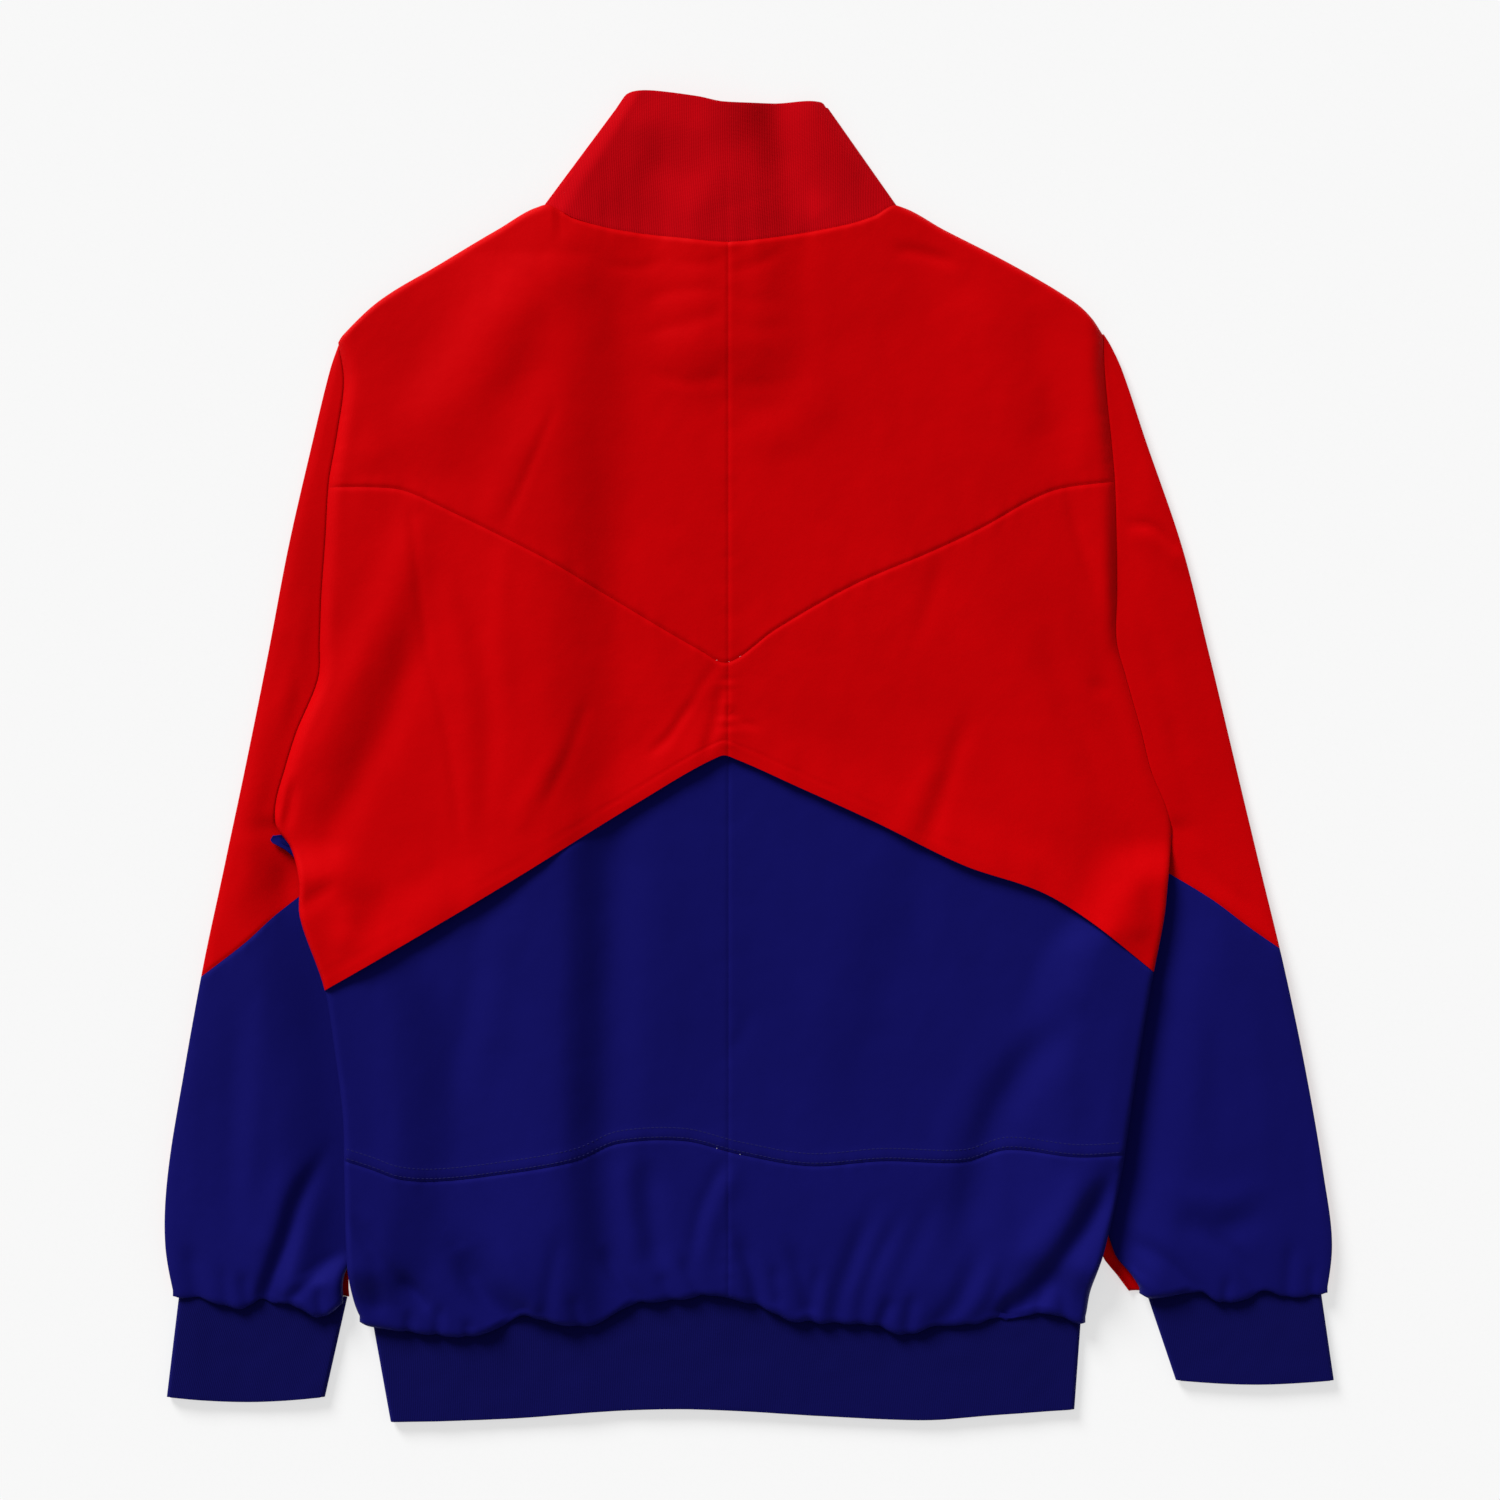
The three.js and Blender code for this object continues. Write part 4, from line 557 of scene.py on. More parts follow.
def sewn(away, along, seed, groove=0.9, pucker=0.28):
    """Relief beside a seam: its groove, and the small puckers that the thread draws in."""
    drawn = ripple(along, np.zeros_like(along), 3.6, seed)
    drawn = drawn + 0.6 * ripple(along, np.ones_like(along), 8.1, seed + 1)
    return -groove * bell(away, 1.25) + pucker * drawn * bell(away, 5.5)


def loft(x, y, table):
    """The back's height with its folds, never so low that it meets the front."""
    relief = (folds(table, x, y) + crinkle(x, y)) * bpy.context.scene.jacket_cloth.fold_depth
    return np.maximum(loft_at(y) + relief, LEAST_LOFT + 0.1 * relief)


def at_armhole(y):
    """1 at the armhole seam, 0 below the underarm."""
    return smooth(y, UNDERARM_Y, UNDERARM_Y + 14)


def body_rim(side, x, y):
    """How much of its height a face has beside the body's outline: at the side and shoulder."""
    from_side = np.maximum(OUT[side] * (body_edge[side](y) - x), 0)
    armhole = at_armhole(y)
    shoulder = np.maximum((yoke_top(x) - y) * SHOULDER_SLOPE, 0)
    past_neck = OUT[side] * (x - NECK_POINT[side])
    beside = blend(quarter(from_side / EDGE_ROLL), ease_out(from_side / ARMHOLE_ROLL), armhole)
    return armhole, beside, blend(1, quarter(shoulder / EDGE_ROLL), smooth(past_neck, -3, 4))


def back_face(side, x, y, table, extra):
    """Height of the back from its folds, with extra over them, turned down at the outline."""
    low = lower_face(x, y)
    full = loft(x, y, table) + extra
    armhole, beside, shoulder = body_rim(side, x, y)
    middle = full / 2 + SEAM / 2
    start = blend(middle, ARMHOLE_SEAM_HEIGHT, armhole)
    height = start + (full - start) * beside
    return low + blend(np.minimum(middle, height), height, shoulder)


def red_back(side, x, y):
    """The yoke and the cape: one face over the blue back, with the cape's loose edge lifted."""
    above_edge = y - cape_edge(x)
    from_side = OUT[side] * (body_edge[side](y) - x)
    loose = 2.1 + 0.8 * ripple(x, np.zeros_like(x), 34, 21) + 0.35 * ripple(x, y * 0, 11, 22)
    lift = loose * (1 - smooth(above_edge, 2, 38)) * smooth(from_side, 4, 34)
    relief = sewn((y - yoke_seam(x)) * YOKE_SLOPE, x, 31, groove=0.55)
    relief += sewn(x - CENTRE, y, 33, groove=0.4)
    at_neck = smooth(OUT[side] * (NECK_POINT[side] - x), 0, 8)
    relief += at_neck * sewn(y - yoke_top(x), x, 35, groove=1.0)
    relief -= 0.25 * bell(above_edge - 9, 0.9)
    armhole = at_armhole(y)
    relief += armhole * sewn(from_side, y, 37, groove=0.3, pucker=0.25)
    return back_face(side, x, y, YOKE_FOLDS + CAPE_FOLDS, SHELL_STEP + lift + relief)


def blue_back(side, x, y):
    """The body and the gathered lower panel, kept under the cape where it lies on them."""
    above_edge = y - cape_edge(x)
    relief = -smooth(above_edge, 1, 12)
    relief += sewn(x - CENTRE, y, 43, groove=0.4, pucker=0.2)
    relief += sewn(y - lower_seam(x), x, 41, groove=0.6)
    relief += 0.35 * bell(y - lower_seam(x) - 4.5, 3.6)
    own = back_face(side, x, y, BODY_FOLDS + GATHERS, relief)
    under = red_back(side, x, y) - bpy.context.scene.jacket_cloth.shell / MM - 0.5
    return blend(own, np.minimum(own, under), smooth(above_edge, -2, 1))


def front_face(side, x, y):
    """The fronts' face on the table, with shallow hollows under the creases and the seam."""
    low = lower_face(x, y)
    armhole, beside, shoulder = body_rim(side, x, y)
    middle = loft_at(y) / 2 - SEAM / 2
    start = blend(middle, 0, armhole)
    shoulder_start = np.minimum(middle, ARMHOLE_SEAM_HEIGHT - SHOULDER_WALL)
    from_side = OUT[side] * (body_edge[side](y) - x)
    hollow = np.maximum(folds(FRONT_FOLDS, x, y), 0) * smooth(from_side, 0, 14)
    hollow += 0.5 * bell(y - FRONT_SEAM_Y, 1.1)
    hollow += np.maximum(ripple(x * 0.8, y * 0.5, 26, 51) - 0.25, 0) * 0.7
    return low + blend(shoulder_start, start * (1 - beside), shoulder) + hollow


def sleeve_loft(side, x, y):
    """Height of a sleeve's upper face: low under and beside the body, full away from it."""
    clear = OUT[side] * (x - body_edge[side](y))
    cap = smooth(y, UNDERARM_Y - 26, UNDERARM_Y + 30)
    away = np.maximum(smooth(clear, 2 - 2 * cap, 42 - 20 * cap), smooth(-y, 296, 318))
    puff = smooth(-y, 240, 316) * 1.2 + 4.8 * smooth(-y, 60, 130) - 1.8 * cap
    beside_seam = smooth(y, UNDERARM_Y - 2, UNDERARM_Y + 8)
    joined = blend(beside_seam, smooth(y, UNDERARM_Y - 60, UNDERARM_Y), smooth(clear, 0, 20))
    low = blend(SLEEVE_UNDER_BODY, ARMHOLE_SEAM_HEIGHT, joined)
    low = low - PIT["deep"] * bell(x - PIT["x"], PIT["wide"]) * bell(y - PIT["y"], PIT["long"])
    low = low - TUCK_DEPTH * (1 - smooth(clear, -1.2, 0.5)) * beside_seam
    depth = bpy.context.scene.jacket_cloth.fold_depth
    relief = (folds(SLEEVE_FOLDS, x, y) + crinkle(x + 70, y)) * depth
    relief += sewn((y - sleeve_seam[side](x)) * SLEEVE_SLOPE, x, 45, groove=0.8)
    return np.maximum(low + (SLEEVE_LOFT + puff + relief) * away, low - 0.2)


def sleeve_rim(side, x, y, inner, outer):
    """How much of its height a sleeve has beside its edges, falling towards the outer one."""
    roll = np.minimum(EDGE_ROLL + 2.0, np.abs(outer - inner) * 0.45)
    armhole = at_armhole(y)
    beside = blend(quarter(np.abs(x - inner) / roll), 1, armhole)
    across = np.clip(np.abs(outer - x) / (0.9 * np.abs(outer - inner) + 0.1), 0, 1)
    fall = 0.2 + 0.8 * (ease_out(across) if side == "left" else across)
    return np.minimum(quarter(np.abs(outer - x) / roll) * fall, beside)


# Grids and meshes


def stations(length, count, start, end):
    """Distances across a width, last axis added: close beside its ends, then even."""
    first, last = start[-1], end[-1]
    fixed = np.concatenate([
        start[:-1], first - (first + last) * np.arange(count + 1) / count, -np.array(end[-2::-1]),
    ])
    share = np.concatenate([
        np.zeros(len(start) - 1), np.arange(count + 1) / count, np.ones(len(end) - 1),
    ])
    scale = np.minimum(1, length / (1.5 * (first + last) + 0.01))
    return share * length[..., None] + fixed * scale[..., None]


# Distances of a grid's closest rows from a rolled, a seamed and a plain edge
ARMHOLE_STEPS = (0, 0.35, 0.9, 1.8, 3.0, 4.4, 6.0, 8.2, 10.6)
ROLL_STEPS = (0, 0.35, 0.9, 1.8, 3.0, 4.4, 6.0)
SEAM_STEPS = (0, 0.5, 1.1, 1.9, 3.0, 4.6)
PLAIN = (0, 1.2)
BLOUSED = (0, 1.2, 2.6)


def panel_grid(near, far, top, bottom, cell, steps):
    """Plan points of a panel between two side lines x(y), a top and a bottom line y(x).

    steps are the distances of its closest rows and columns from its near side, far side, top
    and bottom.
    """
    middle_y = 0.5 * (top(np.array(0.0) + CENTRE) + bottom(np.array(0.0) + CENTRE))
    middle_x = 0.5 * (near(middle_y) + far(middle_y))
    wide = abs(float(far(middle_y) - near(middle_y)))
    tall = float(top(middle_x) - bottom(middle_x))
    down = stations(np.array(tall), max(3, round(tall / cell)), steps[2], steps[3]) / tall
    cols = max(3, round(wide / cell))
    across = stations(np.array(wide), cols, steps[0], steps[1]) / wide
    x = near(middle_y) + (far(middle_y) - near(middle_y)) * across[None, :] + 0 * down[:, None]
    y = top(x)
    pick = np.arange(len(across))  # each column's own station
    for _ in range(40):
        y = top(x) + (bottom(x) - top(x)) * down[:, None]
        width = far(y) - near(y)
        step = stations(np.abs(width), cols, steps[0], steps[1])[..., pick, pick]
        x = x + 0.7 * (near(y) + np.sign(width) * step - x)
    return x, y


def raise_face(grid, height):
    """A grid's plan points with their heights."""
    x, y = grid
    return np.stack([x, y, height(x, y)], 2)


def blouse(points, edge, from_side, floor, angles=(66, 46, 28, 10, -8, -26, -44, -62, -78)):
    """Adds the rows that go round a bloused edge and in over the rib below it.

    from_side(x, y) is the distance from the piece's side, where the roll is opened out, and
    floor(x, y) the height that the rib lies on.
    """
    last = points[-1]
    x, y, z = last.T
    rows = [points]
    for angle in np.radians(angles):
        turn = blend(angle * 0.2 + 0.9, angle, smooth(from_side(x, y), 0.5, EDGE_ROLL + 8))
        radius = (z - floor(x, y) - RIB_LOFT - BLOUSE_GAP) / 2
        reach = y - edge(x)
        rows.append(
            np.stack([x, y - reach * np.cos(turn), z - radius * (1 - np.sin(turn))], 1)[None]
        )
    return np.concatenate(rows)


def place(points):
    """Millimetres in the jacket's plan to metres in the frame."""
    return (np.asarray(points, float) + SHIFT) * MM


def deselect():
    bpy.ops.object.select_all(action="DESELECT")


def make_active(piece):
    deselect()
    piece.select_set(True)
    bpy.context.view_layer.objects.active = piece


def cloth(name, points, up=True, ring=False, tube=False):
    """A sheet of cloth from a grid of points, with its threads' lengths as its UV map."""
    rows, cols = points.shape[:2]
    index = np.arange(rows * cols).reshape(rows, cols)
    if ring:
        index = np.column_stack([index, index[:, 0]])
    quads = np.stack(
        [index[:-1, :-1], index[:-1, 1:], index[1:, 1:], index[1:, :-1]], 2
    ).reshape(-1, 4)
    ring_points = points[:, list(range(cols)) + ([0] if ring else [])]
    across = np.linalg.norm(np.diff(ring_points, axis=1), axis=2)
    along = np.linalg.norm(np.diff(points, axis=0), axis=2)
    u = np.zeros(ring_points.shape[:2])
    u[:, 1:] = across.cumsum(1)
    u -= u.mean(1)[:, None]
    v = np.zeros(ring_points.shape[:2])
    v[1:, : along.shape[1]] = along.cumsum(0)
    v[:, -1] = v[:, 0] if ring else v[:, -1]
    thread = np.stack([u, v], 2) * MM
    corners = np.stack(
        [thread[:-1, :-1], thread[:-1, 1:], thread[1:, 1:], thread[1:, :-1]], 2
    ).reshape(-1, 4, 2)
    a, b, c = (points.reshape(-1, 3)[quads[:, k]] for k in (0, 1, 2))
    facing_up = np.cross(b - a, c - b)[:, 2].sum() > 0
    if tube:
        middle = points.reshape(-1, 3).mean(0)
        facing_up = (np.cross(b - a, c - b) * (a - middle)).sum() > 0
    if facing_up != up:
        quads, corners = quads[:, ::-1], corners[:, ::-1]
    mesh = bpy.data.meshes.new(name)
    mesh.from_pydata(place(points.reshape(-1, 3)).tolist(), [], quads.tolist())
    mesh.uv_layers.new(name="thread").data.foreach_set("uv", corners.reshape(-1))
    piece = bpy.data.objects.new(name, mesh)
    bpy.context.scene.collection.objects.link(piece)
    return piece


def thicken(piece, thickness, rounding=0.0):
    """Gives cloth its thickness inwards, with its cut edges rounded."""
    make_active(piece)
    wall = piece.modifiers.new("wall", "SOLIDIFY")
    wall.thickness = thickness
    wall.offset = -1
    bpy.ops.object.modifier_apply(modifier="wall")
    if rounding:
        rim = piece.modifiers.new("rim", "BEVEL")
        rim.width = rounding
        rim.segments = 3
        rim.limit_method = "ANGLE"
        rim.angle_limit = math.radians(62)
        bpy.ops.object.modifier_apply(modifier="rim")
    bpy.ops.object.shade_smooth()
    return piece


def dress(piece, node, finish):
    """Puts a finished piece on the jacket; one of cloth takes the place of its CAD node."""
    piece.data.materials.clear()
    piece.data.materials.append(finish)
    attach(piece, "jacket")
    if node:
        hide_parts(node)
    return piece


def rib_tube(
    seam_up, seam_down, edge_up, edge_down, across, rows, relief, floor, open_at_zip, rise
):
    """Grid of a flat rib tube: round from the middle or the end of its lower layer.

    The first four are plan lines, from 0 at the left to 1 at the right, of the upper and the
    lower layer, on the seam and on the free edge. floor(x, y) is the height below it, relief the
    upper layer's own unevenness, and rise lifts that layer to the cloth it is sewn to.
    """
    bend = RIB_LOFT / 2
    folded = np.radians([-78, -60, -40, -20, 0, 20, 40, 60, 78])
    grid = []
    for r in range(rows + 1):
        v = r / rows

        def line(seam, edge):
            return lambda a: (
                blend(seam(a)[0], edge(a)[0], v),
                blend(seam(a)[1], edge(a)[1], v),
            )

        up, down = line(seam_up, edge_up), line(seam_down, edge_down)
        left, right = up(0.0), up(1.0)
        upper_x = np.linspace(left[0] + bend, right[0] - bend, across + 1)
        gap = ZIP_REVEAL + SEAM
        each = round(across * 0.45)
        if open_at_zip:
            lower_left = np.linspace(CENTRE - gap, left[0] + bend, each + 1)
            lower_right = np.linspace(right[0] - bend, CENTRE + gap, each + 1)
        else:
            lower_left = np.array([])
            lower_right = np.linspace(right[0] - bend, left[0] + bend, across + 1)[:-1]

        def layer(of, x, high):
            share = np.clip((x - left[0]) / (right[0] - left[0]), 0, 1)
            y = of(share)[1] + 0 * x
            return np.column_stack([x, y, floor(x, y) + high(x, y)])

        def fold(edge, way, angles):
            x = edge[0] + way * bend * (1 - np.cos(angles))
            y = edge[1] + 0 * x
            return np.column_stack([x, y, floor(x, y) + bend * (1 + np.sin(angles))])

        fade = lambda x: smooth(np.minimum(x - left[0], right[0] - x), 0, 14)
        lifted = lambda x, y: relief(x, y) + rise(x, y) * (1 - v) ** 2
        upper = layer(up, upper_x, lambda x, y: RIB_LOFT + fade(x) * lifted(x, y))
        flat = lambda x, y: 0 * x
        grid.append(np.concatenate([
            layer(down, lower_left, flat) if open_at_zip else np.zeros((0, 3)),
            fold(left, 1, folded), upper, fold(right, -1, folded[::-1]),
            layer(down, lower_right, flat),
        ]))
    return np.array(grid)


# Materials


class Wire:
    """A value's socket in a material, which adds and multiplies as a number does."""

    def __init__(self, shader, socket):
        self.shader, self.socket = shader, socket

    def _math(self, operation, *values):
        return self.shader.node("ShaderNodeMath", {"operation": operation}, *values)

    def __add__(self, other):
        return self._math("ADD", self, other)

    def __sub__(self, other):
        return self._math("SUBTRACT", self, other)

    def __rsub__(self, other):
        return self._math("SUBTRACT", other, self)

    def __mul__(self, other):
        return self._math("MULTIPLY", self, other)

    def __truediv__(self, other):
        return self._math("DIVIDE", self, other)

    def __pow__(self, other):
        return self._math("POWER", self, other)

    __radd__, __rmul__ = __add__, __mul__

    def sin(self):
        return self._math("SINE", self)

    def clamp(self, low, high):
        return self.shader.node("ShaderNodeMapRange", {"clamp": True}, self, low, high)


class Shader:
    """A procedural material under construction."""

    def __init__(self, name):
        self.material = bpy.data.materials.new(name)
        self.material.use_nodes = True
        self.tree = self.material.node_tree
        self.surface = self.tree.nodes["Principled BSDF"]

    def node(self, kind, settings, *values, out=0, **named):
        """Adds a node: its settings first, then the values or links of its sockets."""
        node = self.tree.nodes.new(kind)
        for key, value in settings.items():
            setattr(node, key, value)
        for socket, value in [*zip(node.inputs, values)] + [
            (node.inputs[key.replace("_", " ")], value) for key, value in named.items()
        ]:
            self.put(socket, value)
        return Wire(self, node.outputs[out])

    def put(self, socket, value):
        if isinstance(value, Wire):
            self.tree.links.new(value.socket, socket)
        elif value is not None:
            socket.default_value = value

    def mix(self, share, a, b):
        node = self.tree.nodes.new("ShaderNodeMix")
        node.data_type = "RGBA"
        for socket, value in ((node.inputs[0], share), (node.inputs[6], a), (node.inputs[7], b)):
            self.put(socket, value)
        return Wire(self, node.outputs[2])

    def split(self, vector):
        node = self.tree.nodes.new("ShaderNodeSeparateXYZ")
        self.put(node.inputs[0], vector)
        return [Wire(self, socket) for socket in node.outputs]

    def noise(self, where, scale, detail=2.0, roughness=0.5):
        return self.node(
            "ShaderNodeTexNoise", {}, Vector=where, Scale=scale, Detail=detail, Roughness=roughness
        )

    def bump(self, height, distance, strength=1.0):
        return self.node(
            "ShaderNodeBump", {}, Strength=strength, Distance=distance, Height=height
        )

    def finish(self, constants, **links):
        for key, value in constants.items():
            self.surface.inputs[key].default_value = value
        for key, value in links.items():
            self.put(self.surface.inputs[key.replace("_", " ")], value)
        return self.material


def rgba(colour, shade=1.0):
    return (colour[0] * shade, colour[1] * shade, colour[2] * shade, 1.0)


def woven_nylon(name, colour, look):
    """Thin plain-woven nylon: a fine weave, soft slubs and painted mottled light and shade."""
    shader = Shader(name)
    thread = shader.node("ShaderNodeUVMap", {"uv_map": "thread"})
    place_on = shader.node("ShaderNodeTexCoord", {}, out=3)
    u, v, _ = shader.split(thread)
    turns = 2 * math.pi / look.weave
    weave = (u * turns).sin() * (v * turns).sin()
    grain = shader.noise(thread, 2600.0, 2.0)
    slub = shader.noise(shader.node(
        "ShaderNodeMapping", {}, thread, None, None, (1.0, 9.0, 1.0)), 240.0, 3.0)
    cloud = shader.noise(place_on, 9.0, 3.0, 0.55)
    crease = shader.noise(place_on, 42.0, 4.0, 0.6)
    # The cloud noise is painted mottled light and shade; the slubs and grain are the cloth's own
    # random tone.
    painted_shade_and_tone = cloud * 0.6 + slub * 0.25 + grain * 0.15
    own = rgba([part / max(colour) for part in colour])
    shade = shader.mix(painted_shade_and_tone.clamp(0.36, 0.64), rgba(colour, 0.93), rgba(colour, 1.06))
    shade = shader.mix((weave * 0.5 + 0.5) * 0.12, shade, rgba(colour, 0.72))
    height = weave * 0.00002 + grain * 0.00003 + crease * 0.0006
    return shader.finish(
        {
            "Specular IOR Level": look.gloss,
            "Specular Tint": own,
            "Sheen Weight": look.sheen,
            "Sheen Roughness": 0.45,
            "Sheen Tint": own,
        },
        Base_Color=shade,
        Roughness=cloud * 0.14 + look.roughness,
        Normal=shader.bump(height, 1.0, 0.55),
    )


def rib_knit(name, colour, look):
    """Fine knitted rib: raised wales along the length, with fuzz between them, and painted shade in
    the grooves.
    """
    shader = Shader(name)
    thread = shader.node("ShaderNodeUVMap", {"uv_map": "thread"})
    place_on = shader.node("ShaderNodeTexCoord", {}, out=3)
    u, v, _ = shader.split(thread)
    wobble = shader.noise(thread, 90.0, 2.0) * 0.5
    wale = (u * (2 * math.pi / look.wale) + wobble).sin() * 0.5 + 0.5
    loop = (v * (2 * math.pi / look.course)).sin() * 0.5 + 0.5
    fuzz = shader.noise(thread, 1500.0, 3.0, 0.65)
    cloud = shader.noise(place_on, 14.0, 3.0, 0.55)
    # Painted shade: the colour is lighter on the raised wales and loops and darker in the grooves
    # between them, with fuzz and a soft mottling as random tone.
    painted_shade_and_tone = wale * 0.55 + loop * 0.1 + fuzz * 0.2 + cloud * 0.3
    own = rgba([part / max(colour) for part in colour])
    shade = shader.mix(painted_shade_and_tone.clamp(0.15, 0.95), rgba(colour, 0.82), rgba(colour, 1.1))
    height = wale * 0.00016 + loop * 0.00004 + fuzz * 0.00008 + cloud * 0.0006
    return shader.finish(
        {
            "Specular IOR Level": 0.12,
            "Specular Tint": own,
            "Sheen Weight": 0.12,
            "Sheen Roughness": 0.6,
            "Sheen Tint": own,
        },
        Base_Color=shade,
        Roughness=fuzz * 0.1 + 0.82,
        Normal=shader.bump(height, 1.0, 0.7),
    )


def zip_tape_weave(name, colour):
    """Woven zip tape: a fine herringbone."""
    shader = Shader(name)
    place_on = shader.node("ShaderNodeTexCoord", {}, out=3)
    x, y, _ = shader.split(place_on)
    twill = ((x + y) * 5200.0).sin() * ((x - y) * 5200.0).sin()
    grain = shader.noise(place_on, 1800.0, 2.0)
    shade = shader.mix((twill * 0.3 + grain).clamp(0.2, 0.9), rgba(colour, 0.75), rgba(colour, 1.1))
    return shader.finish(
        {"Specular IOR Level": 0.15},
        Base_Color=shade,
        Roughness=grain * 0.15 + 0.7,
        Normal=shader.bump(twill * 0.00006 + grain * 0.00004, 1.0, 0.7),
    )


def zip_metal(name, colour):
    """Dull nickel plate with fine tumbling marks and rubbed high spots."""
    shader = Shader(name)
    place_on = shader.node("ShaderNodeTexCoord", {}, out=3)
    marks = shader.noise(place_on, 900.0, 4.0, 0.7)
    brushed = shader.noise(
        shader.node("ShaderNodeMapping", {}, place_on, None, None, (1.0, 0.08, 1.0)), 4000.0, 2.0
    )
    shade = shader.mix(marks.clamp(0.3, 0.7), rgba(colour, 0.8), rgba(colour, 1.15))
    return shader.finish(
        {"Metallic": 1.0},
        Base_Color=shade,
        Roughness=brushed * 0.25 + marks * 0.15 + 0.18,
        Normal=shader.bump(brushed * 0.00001 + marks * 0.00002, 1.0, 0.6),
    )


def sewing_thread(name, colour):
    """Twisted polyester thread."""
    shader = Shader(name)
    place_on = shader.node("ShaderNodeTexCoord", {}, out=3)
    x, y, _ = shader.split(place_on)
    twist = ((x * 0.8 + y) * 12000.0).sin() * 0.5 + 0.5
    shade = shader.mix(twist, rgba(colour, 0.8), rgba(colour, 1.15))
    return shader.finish(
        {"Specular IOR Level": 0.2, "Sheen Weight": 0.1},
        Base_Color=shade,
        Roughness=twist * 0.15 + 0.5,
        Normal=shader.bump(twist * 0.00003, 1.0, 0.6),
    )


def light_table(name, colour, glow):
    """Matt pale table that glows evenly, as under a cut-out picture."""
    shader = Shader(name)
    place_on = shader.node("ShaderNodeTexCoord", {}, out=3)
    grain = shader.noise(place_on, 600.0, 3.0, 0.6)
    shade = shader.mix(grain.clamp(0.3, 0.7), rgba(colour, 0.995), rgba(colour))
    return shader.finish(
        {"Specular IOR Level": 0.0, "Emission Strength": glow},
        Base_Color=shade,
        Roughness=grain * 0.05 + 0.9,
        Emission_Color=shader.mix(grain.clamp(0.3, 0.7), (0.99, 0.99, 0.99, 1), (1, 1, 1, 1)),
    )


# What a user may change


class JacketCloth(bpy.types.PropertyGroup):
    """Sizes of the cloth."""

    shell: FloatProperty(
        name="Shell", description="Thickness of the nylon with its lining",
        default=0.0009, min=0.0003, max=0.0014, unit="LENGTH",
    )
    rib: FloatProperty(
        name="Rib", description="Thickness of the folded rib knit",
        default=0.0019, min=0.001, max=0.0024, unit="LENGTH",
    )
    cell: FloatProperty(
        name="Cell", description="Spacing of the back's mesh, in millimetres",
        default=2.7, min=1.5, max=12,
    )
    fold_depth: FloatProperty(
        name="Fold depth", description="Depth of the folds as a share of their own",
        default=1.0, min=0, max=1.8,
    )


class JacketNylon(bpy.types.PropertyGroup):
    """Look of the woven shell."""

    red: FloatVectorProperty(
        name="Red", description="Colour of the red panels", subtype="COLOR", size=3,
        default=(0.53, 0.0004, 0.0016),
    )
    blue: FloatVectorProperty(
        name="Blue", description="Colour of the blue panels", subtype="COLOR", size=3,
        default=(0.0056, 0.0052, 0.1),
    )
    weave: FloatProperty(
        name="Weave", description="Spacing of the threads", default=0.00042, unit="LENGTH"
    )
    roughness: FloatProperty(
        name="Roughness", description="Dullness of the shell", default=0.5, subtype="FACTOR"
    )
    gloss: FloatProperty(
        name="Gloss", description="Strength of the highlights", default=0.16, subtype="FACTOR"
    )
    sheen: FloatProperty(
        name="Sheen", description="Strength of the sheen", default=0.05, subtype="FACTOR"
    )


class JacketRib(bpy.types.PropertyGroup):
    """Look of the rib knit."""

    red: FloatVectorProperty(
        name="Red", description="Colour of the collar", subtype="COLOR", size=3,
        default=(0.47, 0.0014, 0.0045),
    )
    navy: FloatVectorProperty(
        name="Navy", description="Colour of the cuffs and hem band", subtype="COLOR", size=3,
        default=(0.0044, 0.0042, 0.066),
    )
    wale: FloatProperty(
        name="Wale", description="Spacing of the ribs", default=0.0011, unit="LENGTH"
    )
    course: FloatProperty(
        name="Course", description="Spacing of the loops", default=0.0008, unit="LENGTH"
    )


class JacketZip(bpy.types.PropertyGroup):
    """Sizes and colours of the zip and the stitching."""

    tape: FloatVectorProperty(
        name="Tape", description="Colour of the tapes", subtype="COLOR", size=3,
        default=(0.3, 0.003, 0.006),
    )
    metal: FloatVectorProperty(
        name="Metal", description="Colour of the slider", subtype="COLOR", size=3,
        default=(0.5, 0.5, 0.5),
    )
    pitch: FloatProperty(
        name="Pitch", description="Spacing of the teeth", default=0.0028, unit="LENGTH"
    )
    stitch: FloatProperty(
        name="Stitch", description="Length of a stitch", default=0.0026, unit="LENGTH"
    )


class JacketStudio(bpy.types.PropertyGroup):
    """Light and camera."""

    key: FloatProperty(name="Key", description="Strength of the key light", default=4.2)
    elevation: FloatProperty(
        name="Elevation", description="Height of the key light",
        default=math.radians(27), unit="ROTATION",
    )
    azimuth: FloatProperty(
        name="Azimuth", description="Direction of the key light",
        default=math.radians(124), unit="ROTATION",
    )
    softness: FloatProperty(
        name="Softness", description="Angle that the key light fills",
        default=math.radians(24), unit="ROTATION",
    )
    sky: FloatProperty(name="Sky", description="Strength of the even light", default=0.34)
    card: FloatVectorProperty(
        name="Card", description="Colour of the table", subtype="COLOR", size=3,
        default=(0.34, 0.34, 0.34),
    )
    glow: FloatProperty(name="Glow", description="Light from within the table", default=0.62)
    height: FloatProperty(
        name="Height", description="Camera above the table", default=2.6, unit="LENGTH"
    )
    field: FloatProperty(
        name="Field", description="Width of the picture on the table", default=0.9, unit="LENGTH"
    )


# The pieces


class Piece(bpy.types.Operator):
    """What the operators share: each makes its own pieces from the scene's properties."""

    bl_options = {"REGISTER"}

    def execute(self, context):
        self.make(context.scene)
        return {"FINISHED"}


